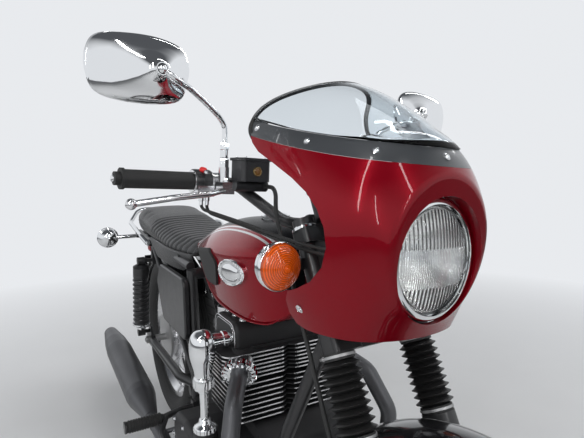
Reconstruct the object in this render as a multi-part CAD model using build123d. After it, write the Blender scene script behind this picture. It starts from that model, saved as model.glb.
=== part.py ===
from build123d import *
from math import acos, asin, atan2, cos, hypot, pi, radians, sin, tan
import os

# A cafe racer motorcycle parked on its centre stand, in millimetres.
# X forward, Y to the rider's left, Z up, the floor at zero. The pieces are drawn
# with the rear axle at x = 0, and each moves back by MID_X as it is written, so
# the origin is on the floor under the middle of the length. Steered pieces are
# drawn straight ahead and turn by STEER_REST about the steering axis.

# Stance and steering
MID_X = 718.0
WHEELBASE = 1465.0
RAKE = radians(27.0)
TRAIL = 108.0
FRONT_AXLE_Z = 309.6
REAR_AXLE_Z = 345.0
STEER_REST = 8.3

# Wheels and tyres
FRONT_TYRE_R = 309.8
FRONT_TYRE_W = 90.0
FRONT_BEAD_R = 229.0
REAR_TYRE_R = 332.6
REAR_TYRE_W = 130.0
REAR_BEAD_R = 229.0
RIM_WALL = 3.5
RIM_LIP = 12.0
SPOKES = 36
SPOKE_R = 2.0
AXLE_R = 8.5
SHAFT_GAP = 0.05            # radial clearance of a wheel or a stand on its pin
SIDE_GAP = 0.3              # end clearance of a turning piece
SKIN_GAP = 0.3              # between curved faces of pieces that are clamped together

# Brake and chain drive
DISC_R = 150.0
DISC_Y = 58.0
DISC_T = 5.0
CHAIN_PITCH = 15.875
CHAIN_Y = 84.0
WHEEL_TEETH = 36
DRIVE_TEETH = 15
DRIVE_X = 636.718           # takes up a loop of exactly CHAIN_LINKS
DRIVE_Z = 352.0
CHAIN_LINKS = 106
ROLLER_R = 5.0

# Fork: heights run up the steering axis from the floor
FORK_OFFSET = 48.0
FORK_HALF = 97.0
FORK_TUBE_R = 19.5
STEM_R = 17.0
AXLE_S = 324.9
GAITER_S = (636.0, 775.0)
LOWER_YOKE_S = (775.0, 810.0)
HEAD_TUBE_S = (812.0, 960.0)
UPPER_YOKE_S = (962.0, 990.0)
FORK_CAP_S = 1010.0
PLEATS = 9
SLIDER_R = 26.0

# Headlight, front signals and fairing
LIGHT_X = 1374.0
LIGHT_Z = 877.0
LIGHT_R = 97.0
EAR_Y = 95.0
FAIRING_STUD_Y = 124.0      # where the ears' studs meet the fairing's inner blocks
SIGNAL_R = 40.0
FRONT_SIGNAL = (1196.0, 172.0, 850.0)
REAR_SIGNAL = (-182.0, 235.0, 740.0)
SKIN = 3.5

# Handlebar and grips
BAR_R = 11.1
BAR_S = 1022.0
RISER_Y = 40.0
GRIP_X = 989.0
GRIP_Z = 984.0
GRIP_Y = (237.0, 366.0)
PERCH_Y = 187.0
STEM_TOP = 1012.0

# Frame and engine
PIVOT_X = 520.0
PIVOT_Z = 345.0
RAIL_Y = 112.0
CRADLE_Y = 104.0
CRADLE_Z = 208.0
FRAME_R = 15.0
CYL_X = 850.0
CYL_Y = 66.0
CASE_TOP = 430.0
HEAD_Z = 540.0
COVER_Z = 612.0
PORT = (944.0, 126.0, 573.0)
PORT_WAY = (0.767, 0.49, -0.414)
PIPE_R = 19.0
BEVEL_X = 888.0
BEVEL_Y = 200.0
BEVEL_FOOT = 421.0

# Seat, tank and tail
SEAT_BASE_X = 548.0
SEAT_BASE_Z = 752.0
SEAT_SLOPE = -0.0287
TUNNEL_X = 480.0
TUNNEL_Z = 764.0
TUNNEL_SLOPE = 0.134
REAR_FENDER_R = 358.0
FRONT_FENDER_R = 321.0
ARM_Y = 118.0
SHOCK_TOP = (71.0, 158.0, 676.0)
SHOCK_LOW = (13.0, 158.0, 385.0)

# Stands: the pivots, the rear one's leg and the side one's folded and lowered ways
STAND_PIVOT = (540.0, 0.0, 225.0)
STAND_FOOT = (574.0, 150.0)
STAND_PIN_R = 8.0
PROP_PIVOT = (720.0, 146.0, 205.0)
PROP_FOLDED = (-0.985, 0.13, -0.05)
PROP_DOWN = (0.15, 0.45, -0.88)
PROP_LENGTH = 226.0

FRONT_AXLE = (WHEELBASE, 0.0, FRONT_AXLE_Z)
REAR_AXLE = (0.0, 0.0, REAR_AXLE_Z)
AXIS_FOOT = Vector(WHEELBASE + TRAIL, 0, 0)
AXIS_UP = Vector(-sin(RAKE), 0, cos(RAKE))
AXIS_FORWARD = Vector(cos(RAKE), 0, sin(RAKE))
SIDES = (-1, 1)


def rod(start, end, radius):
    """A round bar between two points."""
    a, b = Vector(start), Vector(end)
    return Plane(origin=a, z_dir=b - a) * extrude(Circle(radius), (b - a).length)


def pipe(points, radius, bends):
    """A round bar along straight runs joined by arcs."""
    path = FilletPolyline(*points, radius=bends)
    return sweep(Plane(origin=path @ 0, z_dir=path % 0) * Circle(radius), path=path)


def cable(points, radius):
    """A round cord through points, each bend as wide as the runs beside it allow."""
    spots = [Vector(*p) for p in points]
    runs = [b - a for a, b in zip(spots, spots[1:])]
    bends = []
    for a, b in zip(runs, runs[1:]):
        turn = acos(a.normalized().dot(b.normalized()))
        bends.append(0.45 * min(a.length, b.length) / tan(turn / 2))
    return pipe(points, radius, bends)


def pair(make):
    """The right-hand piece and the left-hand one, from make(-1) and make(1)."""
    return Part() + [make(side) for side in SIDES]


def block(x, y, z):
    """A box from its lowest and highest x, y and z, in either order."""
    spans = [sorted(span) for span in (x, y, z)]
    centre = [(low + high) / 2 for low, high in spans]
    return Pos(*centre) * Box(*[high - low for low, high in spans])


def disc(x, z, radius, y_from, y_to):
    """A round plate or pin across the machine."""
    low, high = sorted((y_from, y_to))
    return Pos(x, high, z) * Rot(90, 0, 0) * extrude(Circle(radius), high - low)


def ring(x, z, outer, inner, y_from, y_to):
    low, high = sorted((y_from, y_to))
    return Pos(x, high, z) * Rot(90, 0, 0) * extrude(Circle(outer) - Circle(inner), high - low)


def flat_plate(face, y_from, y_to):
    """A sketch of (x, z) as a plate between two distances from the middle."""
    low, high = sorted((y_from, y_to))
    return Plane(origin=(0, low, 0), x_dir=(1, 0, 0), z_dir=(0, -1, 0)) * extrude(face, low - high)


def side_plate(points, y_from, y_to, corner=0.0):
    """An outline of (x, z) points as a plate between two distances from the middle."""
    face = make_face(Polyline(*points, close=True))
    if corner:
        face = fillet(face.vertices(), corner)
    return flat_plate(face, y_from, y_to)


def crown(start, radius, tip):
    """The arc of a dome's profile from (start, radius) to its tip on the X axis."""
    rise = tip - start
    ball = (radius ** 2 + rise ** 2) / (2 * abs(rise))
    way = 1 if rise > 0 else -1
    half = asin(min(radius / ball, 1.0)) / 2
    middle = (tip - way * ball * (1 - cos(half)), ball * sin(half))
    return ThreePointArc((start, radius), middle, (tip, 0))


def turned(points, place):
    """A solid of revolution about a plane's normal from (radius, height) points."""
    return place * revolve(Plane.XZ * make_face(Polyline(*points, close=True)), Axis.Z)


def section(x, sketch):
    """A sketch of (y, z) set upright across the machine at x."""
    return Plane(origin=(x, 0, 0), x_dir=(0, 1, 0), z_dir=(1, 0, 0)) * sketch


def fork(s, forward=0.0, y=0.0):
    """The plane across the steering axis at height s, ahead of it and to one side."""
    origin = AXIS_FOOT + AXIS_UP * s + AXIS_FORWARD * forward + Vector(0, y, 0)
    return Plane(origin=origin, x_dir=AXIS_FORWARD, z_dir=AXIS_UP)


# Wheels

def tyre(axle, outer, bead, width):
    """A crowned tyre that closes on the rim between its flanges."""
    half, foot, shoulder = width / 2, width * 0.27 - SKIN_GAP, outer - width * 0.16
    seat, belly, lip = bead + SKIN_GAP, (outer + bead) / 2, bead + RIM_LIP + 1
    edge = [
        Line((lip, -foot), (seat, -foot)),
        Line((seat, -foot), (seat, foot)),
        Line((seat, foot), (lip, foot)),
        ThreePointArc((lip, foot), (belly, half), (shoulder, half * 0.86)),
        ThreePointArc((shoulder, half * 0.86), (outer, 0), (shoulder, -half * 0.86)),
        ThreePointArc((shoulder, -half * 0.86), (belly, -half), (lip, -foot)),
    ]
    return Pos(*axle) * revolve(make_face(edge), Axis.Y)


def wire_wheel(axle, bead, width, hub_r, hub_half, flange_r, flange_y):
    """Rim, hub and crossed spokes, with the running bore along the axle."""
    half, well, lip = width * 0.27, bead - 14, bead + RIM_LIP
    rim_edge = [
        (bead, half), (lip, half), (lip, half + RIM_WALL), (bead - RIM_WALL, half + RIM_WALL),
        (well - RIM_WALL, half * 0.45), (well - RIM_WALL, -half * 0.45),
        (bead - RIM_WALL, -half - RIM_WALL), (lip, -half - RIM_WALL), (lip, -half), (bead, -half),
        (well, -half * 0.4), (well, half * 0.4),
    ]
    bore = AXLE_R + SHAFT_GAP
    hub_edge = [
        (bore, -hub_half), (hub_r, -hub_half), (hub_r, -flange_y - 4), (flange_r, -flange_y - 3),
        (flange_r, -flange_y + 3), (hub_r, -flange_y + 6), (hub_r, flange_y - 6),
        (flange_r, flange_y - 3), (flange_r, flange_y + 3), (hub_r, flange_y + 4),
        (hub_r, hub_half), (bore, hub_half),
    ]
    rim = revolve(make_face(Polyline(*rim_edge, close=True)), Axis.Y)
    hub = revolve(make_face(Polyline(*hub_edge, close=True)), Axis.Y)
    cross = radians(50)
    spokes = []
    for n in range(SPOKES):
        side = 1 if n % 2 else -1
        lead = 1 if (n // 2) % 2 else -1
        at_rim = 2 * pi * n / SPOKES
        at_hub = at_rim + lead * cross
        inner, outer = flange_r - 5, well - 1
        start = (inner * cos(at_hub), side * flange_y, inner * sin(at_hub))
        end = (outer * cos(at_rim), side * half * 0.2, outer * sin(at_rim))
        spokes.append(rod(start, end, SPOKE_R))
    return Pos(*axle) * (rim + hub + spokes)


def front_tyre():
    return tyre(FRONT_AXLE, FRONT_TYRE_R, FRONT_BEAD_R, FRONT_TYRE_W)


def rear_tyre():
    return tyre(REAR_AXLE, REAR_TYRE_R, REAR_BEAD_R, REAR_TYRE_W)


FRONT_HUB_HALF = 46.0
REAR_HUB_HALF = 52.0


def front_wheel():
    return wire_wheel(FRONT_AXLE, FRONT_BEAD_R, FRONT_TYRE_W, 32, FRONT_HUB_HALF, 54, 30)


def rear_wheel():
    return wire_wheel(REAR_AXLE, REAR_BEAD_R, REAR_TYRE_W, 78, REAR_HUB_HALF, 98, 36)


def brake_disc():
    """The front disc with its carrier, on the hub's right end."""
    x, _, z = FRONT_AXLE
    half = DISC_T / 2
    plate = ring(x, z, DISC_R, 112, -DISC_Y - half, -DISC_Y + half)
    carrier = ring(x, z, 113, 16, -DISC_Y - half + 0.5, -DISC_Y + half - 0.5)
    boss = ring(x, z, 40, 16, -DISC_Y, -FRONT_HUB_HALF)
    # Rings of holes: count, distance from the axle, radius
    holes = [Pos(reach * cos(2 * pi * n / count), 0, reach * sin(2 * pi * n / count)) * disc(x, z, radius, -70, -50)
             for count, reach, radius in [(5, 82, 20), (24, 124, 3), (24, 138, 3)] for n in range(count)]
    return plate + carrier + boss - holes


def sprocket():
    """The chain wheel, dished out from the hub's left end."""
    x, _, z = REAR_AXLE
    carrier = ring(x, z, 74, 40, REAR_HUB_HALF, CHAIN_Y)
    return carrier + toothed_plate(x, z, WHEEL_TEETH, 40)


def pitch_radius(teeth):
    return CHAIN_PITCH / 2 / sin(pi / teeth)


def toothed_plate(x, z, teeth, bore, turn=0.0):
    """A chain wheel's plate: the spaces between its pointed teeth clear the rollers."""
    radius = pitch_radius(teeth)
    face = Circle(radius + 4) - Circle(bore)
    turns = [turn + 2 * pi * n / teeth for n in range(teeth)]
    for reach, hollow in ((radius, ROLLER_R + SKIN_GAP), (radius + 4, ROLLER_R + 1.9)):
        face -= [Pos(reach * cos(t), reach * sin(t)) * Circle(hollow) for t in turns]
    return Pos(x, 0, z) * flat_plate(face, CHAIN_Y - 3, CHAIN_Y + 3)


# Fork and steering

def yoke(s_low, s_high):
    """A forked clamp plate that spans both fork tubes."""
    front, near, far = FORK_OFFSET + 27, FORK_HALF - 36, FORK_HALF + 22
    left = [(-22, 16), (10, 58), (30, far - 4), (front, far), (front, near), (28, 34)]
    outline = Polyline(*left, *[(x, -y) for x, y in left[::-1]], close=True)
    face = fillet(make_face(outline).vertices(), 9)
    return fork(s_low) * extrude(face, s_high - s_low)


def fork_yokes():
    """Yokes, stem and fork tubes, with the headlight's ears and the bar's risers."""
    body = yoke(*LOWER_YOKE_S) + yoke(*UPPER_YOKE_S)
    body += fork(LOWER_YOKE_S[1]) * extrude(Circle(STEM_R), UPPER_YOKE_S[0] - LOWER_YOKE_S[1])
    body += fork(UPPER_YOKE_S[1]) * extrude(RegularPolygon(16, 6), 7)
    for side in SIDES:
        y = side * FORK_HALF
        body += fork(GAITER_S[1], FORK_OFFSET, y) * extrude(Circle(FORK_TUBE_R), FORK_CAP_S - GAITER_S[1])
        body += fork(UPPER_YOKE_S[1], 0, side * RISER_Y) * extrude(RectangleRounded(26, 24, 6), 8)
        body += headlight_ear(side)
        x, signal_y, z = FRONT_SIGNAL
        body += block((x - 24, x - 4), (y, side * (FORK_HALF + 26)), (z - 10, z + 10))
    return body


def headlight_ear(side):
    """The plate from a fork tube to the headlight's side, with the fairing's mount."""
    outline = [(1178, 868), (1206, 812), (1300, 836), (1356, 858), (1356, 896), (1300, 898), (1190, 888)]
    plate = side_plate(outline, side * EAR_Y, side * (EAR_Y + 5), 8)
    return plate + disc(1338, 850, 9, side * EAR_Y, side * FAIRING_STUD_Y)


def fork_gaiters():
    """Pleated boots between the sliders and the lower yoke."""
    length = GAITER_S[1] - GAITER_S[0]
    pitch = (length - 26) / PLEATS
    edge = [(0, 0), (27, 0), (27, 12)]
    for n in range(PLEATS):
        edge += [(32.5, 12 + pitch * (n + 0.5)), (25.5, 12 + pitch * (n + 1))]
    edge += [(29, length - 12), (29, length), (0, length)]
    return pair(lambda side: turned(edge, fork(GAITER_S[0], FORK_OFFSET, side * FORK_HALF)))


def fork_sliders():
    """The fork's lower legs and the axle clamped in their feet."""
    foot = AXLE_S - 26
    length = GAITER_S[0] - foot
    edge = [(0, 0), (20, 0), (24, 8), (24, 60), (SLIDER_R, 90), (SLIDER_R, length - 40),
            (30, length - 34), (30, length), (0, length)]
    x, _, z = FRONT_AXLE
    inner = FORK_HALF - 26
    body = disc(x, z, AXLE_R, -FORK_HALF - 24, FORK_HALF + 24)
    for side in SIDES:
        body += turned(edge, fork(foot, FORK_OFFSET, side * FORK_HALF))
        body += disc(x, z, 23, side * inner, side * (FORK_HALF + 20))
        body += disc(x, z, 13, side * (FRONT_HUB_HALF + SIDE_GAP), side * inner)
        body += disc(x, z, 13, side * (FORK_HALF + 20), side * (FORK_HALF + 30))
        body += fork(AXLE_S + 242, FORK_OFFSET, side * 75) * Box(26, 24, 26)
    lug = Rot(90, 0, 0) * extrude(RectangleRounded(96, 60, 12), 5, both=True)
    return body + fork(AXLE_S + 82, FORK_OFFSET - 44, -93) * lug


def brake_caliper():
    """The caliper over the disc's rear edge, bolted inside the right leg's lug."""
    x, _, z = FRONT_AXLE
    body = fork(AXLE_S + 78, FORK_OFFSET - 118, -63) * Box(64, 50, 96)
    body = fillet(body.edges().filter_by(Axis.Y), 16)
    ear = fork(AXLE_S + 82, FORK_OFFSET - 72, -80) * Box(44, 16, 48)
    slot = disc(x, z, DISC_R + 3, -DISC_Y - 4.5, -DISC_Y + 4.5)
    return body + ear - slot


def mudguard(axle, radius, half, depth, arc, start):
    """A curved channel over a tyre: arc degrees long from its front end."""
    edge = [
        ThreePointArc((radius - depth, half), (radius, 0), (radius - depth, -half)),
        Line((radius - depth, -half), (radius - depth - 2.5, -half + 2)),
        ThreePointArc((radius - depth - 2.5, -half + 2), (radius - 3, 0), (radius - depth - 2.5, half - 2)),
        Line((radius - depth - 2.5, half - 2), (radius - depth, half)),
    ]
    return Pos(*axle) * Rot(0, start, 0) * revolve(make_face(edge), Axis.Y, arc)


def front_fender():
    """The front mudguard with its brackets on the sliders."""
    body = mudguard(FRONT_AXLE, FRONT_FENDER_R, 60, 26, 130, -166)
    for side in SIDES:
        body += fork(AXLE_S + FRONT_FENDER_R - 66, FORK_OFFSET, side * 61.0) * Box(30, 4, 88)
    return body


def headlight_shell():
    """The headlight's bowl, open at the front."""
    outer = [Line((0, 0), (0, 93)), Line((0, 93), (-22, 92)), crown(-22, 92, -104), Line((-104, 0), (0, 0))]
    inner = [Line((5, 0), (5, 83)), Line((5, 83), (-20, 83)), crown(-20, 83, -98), Line((-98, 0), (5, 0))]
    bowl = revolve(make_face(outer), Axis.X) - revolve(make_face(inner), Axis.X)
    bosses = [disc(-22, 0, 13, side * 86, side * EAR_Y) for side in SIDES]
    return Pos(LIGHT_X - 12, 0, LIGHT_Z) * (bowl + bosses)


def headlight_rim():
    """The ring that holds the lens on the bowl."""
    edge = [Line((-12, 88), (-12, LIGHT_R - 1)),
            ThreePointArc((-12, LIGHT_R - 1), (-2, LIGHT_R), (4, LIGHT_R - 9)),
            Line((4, LIGHT_R - 9), (-12, 88))]
    return Pos(LIGHT_X, 0, LIGHT_Z) * revolve(make_face(edge), Axis.X)


def headlight_lens():
    """The domed glass."""
    outer = [Line((-12, 0), (-12, 87)), Line((-12, 87), (-2, 86)), crown(-2, 86, 10), Line((10, 0), (-12, 0))]
    inner = [Line((-20, 0), (-20, 80)), Line((-20, 80), (-5, 80)), crown(-5, 80, 6), Line((6, 0), (-20, 0))]
    dome = revolve(make_face(outer), Axis.X) - revolve(make_face(inner), Axis.X)
    return Pos(LIGHT_X, 0, LIGHT_Z) * dome


def signal_shell(place, facing, side, stalk_end):
    """A round signal's bowl and the stalk that holds it, ending at y = stalk_end."""
    x, y, z = place
    edge = [Line((0, 0), (0, SIGNAL_R)), crown(0, SIGNAL_R, -38), Line((-38, 0), (0, 0))]
    bowl = Rot(0, 0, 0 if facing > 0 else 180) * revolve(make_face(edge), Axis.X)
    return Pos(x, side * y, z) * bowl + disc(x - facing * 14, z, 8, side * y, side * stalk_end)


def signal_lens(place, facing, side):
    x, y, z = place
    edge = [Line((0, 0), (0, SIGNAL_R - 1)), Line((0, SIGNAL_R - 1), (9, SIGNAL_R - 2)),
            crown(9, SIGNAL_R - 2, 25), Line((25, 0), (0, 0))]
    dome = Rot(0, 0, 0 if facing > 0 else 180) * revolve(make_face(edge), Axis.X)
    return Pos(x, side * y, z) * dome


def front_signal_shells():
    return pair(lambda side: signal_shell(FRONT_SIGNAL, 1, side, FORK_HALF + 26))


def front_signal_lenses():
    return pair(lambda side: signal_lens(FRONT_SIGNAL, 1, side))


def rear_signal_shells():
    return pair(lambda side: signal_shell(REAR_SIGNAL, -1, side, RAIL_Y + 14))


def rear_signal_lenses():
    return pair(lambda side: signal_lens(REAR_SIGNAL, -1, side))


# Cockpit fairing. Its outer form runs through upright rings, each two half ellipses
# that meet where it is widest: x, half width, lowest z, widest z, highest z
FAIRING_RINGS = [
    (1400, 103, 778, 896, 1004),
    (1376, 127, 775, 914, 1048),
    (1320, 160, 650, 930, 1094),
    (1240, 176, 610, 925, 1144),
    (1060, 190, 600, 942, 1206),
]
# The front face leans back at its foot: x, z of its lower end and its upper end
FAIRING_FACE = [(1374, 700), (1404, 1100)]
NOSE_ROUND = 22.0           # around the edge of the front face
# Foot of the screen's band as an arc of (x, z), and how far the screen's foot is above it
BAND_FOOT = [(1085, 1070), (1240, 1040), (1412, 1020)]
BAND_H = 27.0
# The screen's rear edge runs up from the band: x, z
SCREEN_EDGE = [(1094, 1086), (1194, 1172)]
# Rear edge of the fairing from the band down to its level lower rim: x, z
FAIRING_EDGE = [
    (1085, 1070), (1096, 1057), (1120, 1040), (1162, 1022), (1219, 996), (1256, 975), (1283, 951), (1298, 925),
    (1303, 895), (1294, 864), (1270, 838), (1240, 822), (1214, 812), (1206, 796), (1208, 774), (1222, 758),
    (1244, 753), (1420, 753),
]


def half_oval(half, rise, middle_z):
    """The upper half of an ellipse of (y, z), or the lower half where rise is negative."""
    return EllipticalCenterArc((0, middle_z), half, abs(rise), start_angle=0 if rise > 0 else 180, arc_size=180)


def fairing_form(inset):
    rings = []
    for x, half, low, middle, high in FAIRING_RINGS:
        upper = half_oval(half - inset, high - middle - inset, middle)
        lower = half_oval(half - inset, low - middle + inset, middle)
        rings.append(section(x, make_face([upper, lower])))
    return loft(rings)


def behind_face(inset):
    """All that lies behind the leaning front face."""
    low, high = [(x - inset, z) for x, z in FAIRING_FACE]
    return side_plate([(900, 500), (low[0] - 15, 500), low, high, (high[0] + 15, 1300), (900, 1300)], -260, 260)


def nose_form(inset):
    """The form with its flat front face and the round edge that leads to it."""
    form = fairing_form(inset) & behind_face(inset)
    return fillet(form.faces().sort_by(Axis.X)[-1].edges(), NOSE_ROUND - inset)


def fairing_shell():
    """The skin of fairing and screen as one, open at the rear."""
    return nose_form(0) - nose_form(SKIN)


def under_band(rise):
    """All that lies below the band's foot, or below a copy of it raised by rise."""
    low, middle, high = [(x, z + rise) for x, z in BAND_FOOT]
    around = Polyline(high, (1500, high[1]), (1500, 500), (900, 500), (900, low[1]), low)
    return flat_plate(make_face([ThreePointArc(low, middle, high), *around.edges()]), -260, 260)


def fairing():
    """The painted shell around the headlight, cut away behind at both sides."""
    shell = fairing_shell() & under_band(-SKIN_GAP)
    shell -= side_plate([(900, 1300), (FAIRING_EDGE[0][0], 1300), *FAIRING_EDGE, (1420, 500), (900, 500)], -260, 260)
    lip = Pos(LIGHT_X - 8, 0, LIGHT_Z) * Rot(0, 90, 0) * extrude(Circle(LIGHT_R + 4 + SKIN), 60)
    shell += lip & nose_form(0)
    shell -= Pos(LIGHT_X - 20, 0, LIGHT_Z) * Rot(0, 90, 0) * extrude(Circle(LIGHT_R + 4), 120)
    for side in SIDES:
        shell += block((1324, 1352), (side * FAIRING_STUD_Y, side * 180), (838, 862)) & fairing_form(SKIN / 2)
    return shell


def behind_screen():
    """All that lies behind the rear edge of band and screen."""
    low, high = SCREEN_EDGE
    foot = BAND_FOOT[0]
    return side_plate([(900, 900), (foot[0], 900), foot, low, high, (high[0] + 60, 1300), (900, 1300)], -260, 260)


def screen_band():
    """The strip that joins the screen to the shell."""
    return (fairing_shell() & under_band(BAND_H)) - under_band(0) - behind_screen()


def windscreen():
    """The clear bubble above the band."""
    return fairing_shell() - under_band(BAND_H + SKIN_GAP) - behind_screen()


# Handlebar and what it carries

def handlebar():
    """The bar bent down and back from its clamps to both grips."""
    middle = fork(BAR_S).origin
    half = [(GRIP_X, GRIP_Y[1] - 2, GRIP_Z), (GRIP_X, 146, GRIP_Z), (middle.X - 6, 96, middle.Z + 2),
            (middle.X, 64, middle.Z)]
    points = [(x, -y, z) for x, y, z in half] + half[::-1]
    bar = pipe(points, BAR_R, [36, 36, 30, 30, 36, 36])
    foot = UPPER_YOKE_S[1] + 8
    for side in SIDES:
        bar += fork(foot, 0, side * RISER_Y) * extrude(RectangleRounded(26, 24, 6), BAR_S + 14 - foot)
    return bar


def grips():
    """Rubber grips with their end weights."""
    def one(side):
        low, high = GRIP_Y
        sleeve = ring(GRIP_X, GRIP_Z, 16.7, BAR_R + SKIN_GAP, side * low, side * (high - 2))
        flange = disc(GRIP_X, GRIP_Z, 19, side * (high - 2), side * (high + 4))
        return sleeve + flange + disc(GRIP_X, GRIP_Z, 12, side * (high + 4), side * (high + 14))
    return pair(one)


def bar_controls():
    """Each side's switch housing, lever perch and hand lever."""
    def one(side):
        inner = BAR_R + SKIN_GAP
        low = GRIP_Y[0] - 38
        body = ring(GRIP_X, GRIP_Z, 21, inner, side * low, side * (GRIP_Y[0] - 0.5))
        body += block((GRIP_X - 10, GRIP_X + 26), (side * (low + 2), side * (GRIP_Y[0] - 2)), (956, 976))
        body += ring(GRIP_X, GRIP_Z, 18, inner, side * (PERCH_Y - 13), side * low)
        body += block((GRIP_X, 1044), (side * (PERCH_Y - 13), side * (PERCH_Y + 12)), (962, 984))
        body -= disc(GRIP_X, GRIP_Z, inner, side * 150, side * 260)
        body += Pos(1024, side * PERCH_Y, 980) * extrude(Circle(10), STEM_TOP - 980)
        way = [(1036, side * PERCH_Y, 970), (1056, side * 232, 962), (1062, side * 300, 955),
               (1058, side * 368, 944)]
        body += pipe(way, 5.5, [40, 90]) + Pos(1058, side * 372, 943.5) * Sphere(9.5)
        return body
    return pair(one)


def brake_reservoir():
    """The front brake's cylinder and its square fluid tank, beside the right perch."""
    x, y = 1042, PERCH_Y - 13
    cylinder = disc(x, 979, 11, -y, -104)
    tank = block((x - 25, x + 25), (-170, -108), (987, 1026))
    tank = fillet(tank.edges().filter_by(Axis.Z), 9)
    lid = block((x - 28, x + 28), (-173, -105), (1026, 1031))
    return cylinder + tank + fillet(lid.edges().filter_by(Axis.Z), 10)


# Cords from the bar, straight ahead: x, y, z
THROTTLE_CABLES = [
    [(1003, -222, 955.5), (1003, -222, 932), (1075, -168, 910), (1180, -130, 886), (1322, -107, 880)],
    [(1003, -210, 955.5), (1003, -210, 926), (1075, -158, 902), (1180, -126, 877), (1322, -107, 870)],
]
CLUTCH_CABLE = [(1044.4, 181, 973), (1080, 181, 973), (1180, 134, 890), (1322, 107, 875)]
# The brake hose in the fork's own terms: height up the steering axis, distance ahead of it, y
BRAKE_HOSE = [(1107.5, -17.5, -114), (1086, 22, -118), (1040, 12, -125), (620, 12, -125), (540, -62, -78),
              (452, -62, -78)]
CABLE_R = 3.0
HOSE_R = 4.0


def control_cables():
    """Throttle and clutch cables with their clips on the headlight's ears, and the front brake's hose."""
    cords = [cable(way, CABLE_R) for way in (*THROTTLE_CABLES, CLUTCH_CABLE)]
    clips = pair(lambda side: block((1312, 1330), (side * (EAR_Y + 5), side * 112), (864, 886)))
    hose = [(p.X, p.Y, p.Z) for p in [fork(*spot).origin for spot in BRAKE_HOSE]]
    return clips + cords + cable(hose, HOSE_R)


MIRROR_OUTLINE = [(-88, -18), (-70, -48), (40, -54), (84, -32), (86, 22), (60, 50), (-50, 54), (-86, 34)]


def mirrors():
    """Mirror heads on bent stems that stand on the perches."""
    def one(side):
        stem = pipe([(1024, side * PERCH_Y, STEM_TOP), (1024, side * PERCH_Y, 1086), (1034, side * 331, 1168)],
                    5, [14])
        nut = Pos(1024, side * PERCH_Y, STEM_TOP) * extrude(RegularPolygon(10, 6), 14)
        outline = fillet(make_face(Polyline(*MIRROR_OUTLINE, close=True)).vertices(), 18)
        face = Plane(origin=(1036, side * 355, 1165), x_dir=(0, side, 0), z_dir=(1, 0, 0))
        layers = [(-5, 1.0), (12, 0.96), (24, 0.6)]
        head = loft([face.offset(depth) * scale(outline, size) for depth, size in layers])
        return stem + nut + head
    return pair(one)


def instruments():
    """Two round gauges on a plate over the upper yoke."""
    top = UPPER_YOKE_S[1]
    plate = fork(top + 6) * extrude(Pos(70, 0) * RectangleRounded(84, 138, 18), 6)
    feet = [fork(top, 36, side * 20) * extrude(RectangleRounded(20, 22, 4), 6) for side in SIDES]
    cups = [fork(top + 12, 84, side * 48) * extrude(Circle(38), 56) for side in SIDES]
    bezels = [fork(top + 68, 84, side * 48) * extrude(Circle(41), 8) for side in SIDES]
    return plate + feet + cups + bezels


# Frame

def main_frame():
    """Head tube, backbone, twin cradle, seat rails and their lugs, welded as one."""
    backbone_z = tunnel_z(0) - 31
    body = rod((560, 0, backbone_z + 560 * TUNNEL_SLOPE), (1130, 0, backbone_z + 1130 * TUNNEL_SLOPE), 19)
    body += fork(HEAD_TUBE_S[0]) * extrude(Circle(27), HEAD_TUBE_S[1] - HEAD_TUBE_S[0])
    for side in SIDES:
        body += frame_side(side)
    # Cross members: x, half width, z, radius
    for x, half, z, radius in [(560, RAIL_Y, 715, 16), (75, RAIL_Y, 748, 9), (-142, RAIL_Y, 754, 9),
                               (960, CRADLE_Y, CRADLE_Z, 11), (545, CRADLE_Y, 262, 11)]:
        body += rod((x, -half, z), (x, half, z), radius)
    for x in (640, 1000):
        body += side_plate([(x - 20, tunnel_z(x - 20)), (x + 20, tunnel_z(x + 20)),
                            (x + 20, tunnel_z(x + 20) - 28), (x - 20, tunnel_z(x - 20) - 28)], -14, 14)
    for x in (75, -142):
        body += block((x - 14, x + 14), (-18, 18), (730, 748))
    px, _, pz = STAND_PIVOT
    body -= disc(px, pz, STAND_PIN_R + SHAFT_GAP, -110, 110)
    return body - fork(HEAD_TUBE_S[0] - 5) * extrude(Circle(STEM_R + SIDE_GAP), 160)


def frame_side(side):
    rail, cradle = side * RAIL_Y, side * CRADLE_Y
    body = pipe([(1166, side * 12, 745), (1068, side * 74, 470), (1008, cradle, CRADLE_Z),
                 (560, cradle, CRADLE_Z), (560, side * 110, PIVOT_Z), (560, rail, 728)],
                FRAME_R, [60, 60, 60, 60])
    body += rod((548, rail, seat_base(548) - 17), (-150, rail, seat_base(-150) - 17), 13)
    body += rod((552, rail, 400), (90, rail, 736), 10)
    # The plate that carries the swinging arm, with its bolt head
    body += side_plate([(506, 320), (506, 372), (560, 400), (572, 400), (572, 300), (560, 290)],
                       side * 102, side * 110, 8)
    body += disc(PIVOT_X, PIVOT_Z, 15, side * 110, side * 120)
    # The centre stand's plate
    body += side_plate([(566, 272), (522, 244), (522, 208), (540, 200), (580, 200), (592, 214)],
                       side * 86, side * 94, 6)
    body += seat_pads(side)
    # Lugs: x, outer y, z, half length, half height
    for x, outer, z, half_x, half_z in [(110, 126, 748, 12, 11), (-160, 126, 748, 12, 14),
                                        (320, 128, 569, 10, 10), (556, 128, 640, 10, 10),
                                        (590, 128, 330, 12, 20)]:
        body += block((x - half_x, x + half_x), (side * (RAIL_Y - 8), side * outer), (z - half_z, z + half_z))
    body += side_plate([(560, 345), (602, 346), (602, 312), (560, 300)], side * 104, side * 116)
    body += block((60, 84), (side * 106, side * 118), (662, 745))
    body += disc(SHOCK_TOP[0], SHOCK_TOP[2], 7, side * 112, side * (SHOCK_TOP[1] - 13))
    for x in (690, 900):
        body += block((x - 18, x + 18), (side * 80, side * 100), (CRADLE_Z, 228))
    if side > 0:
        body += prop_lug()
    return body


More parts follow.
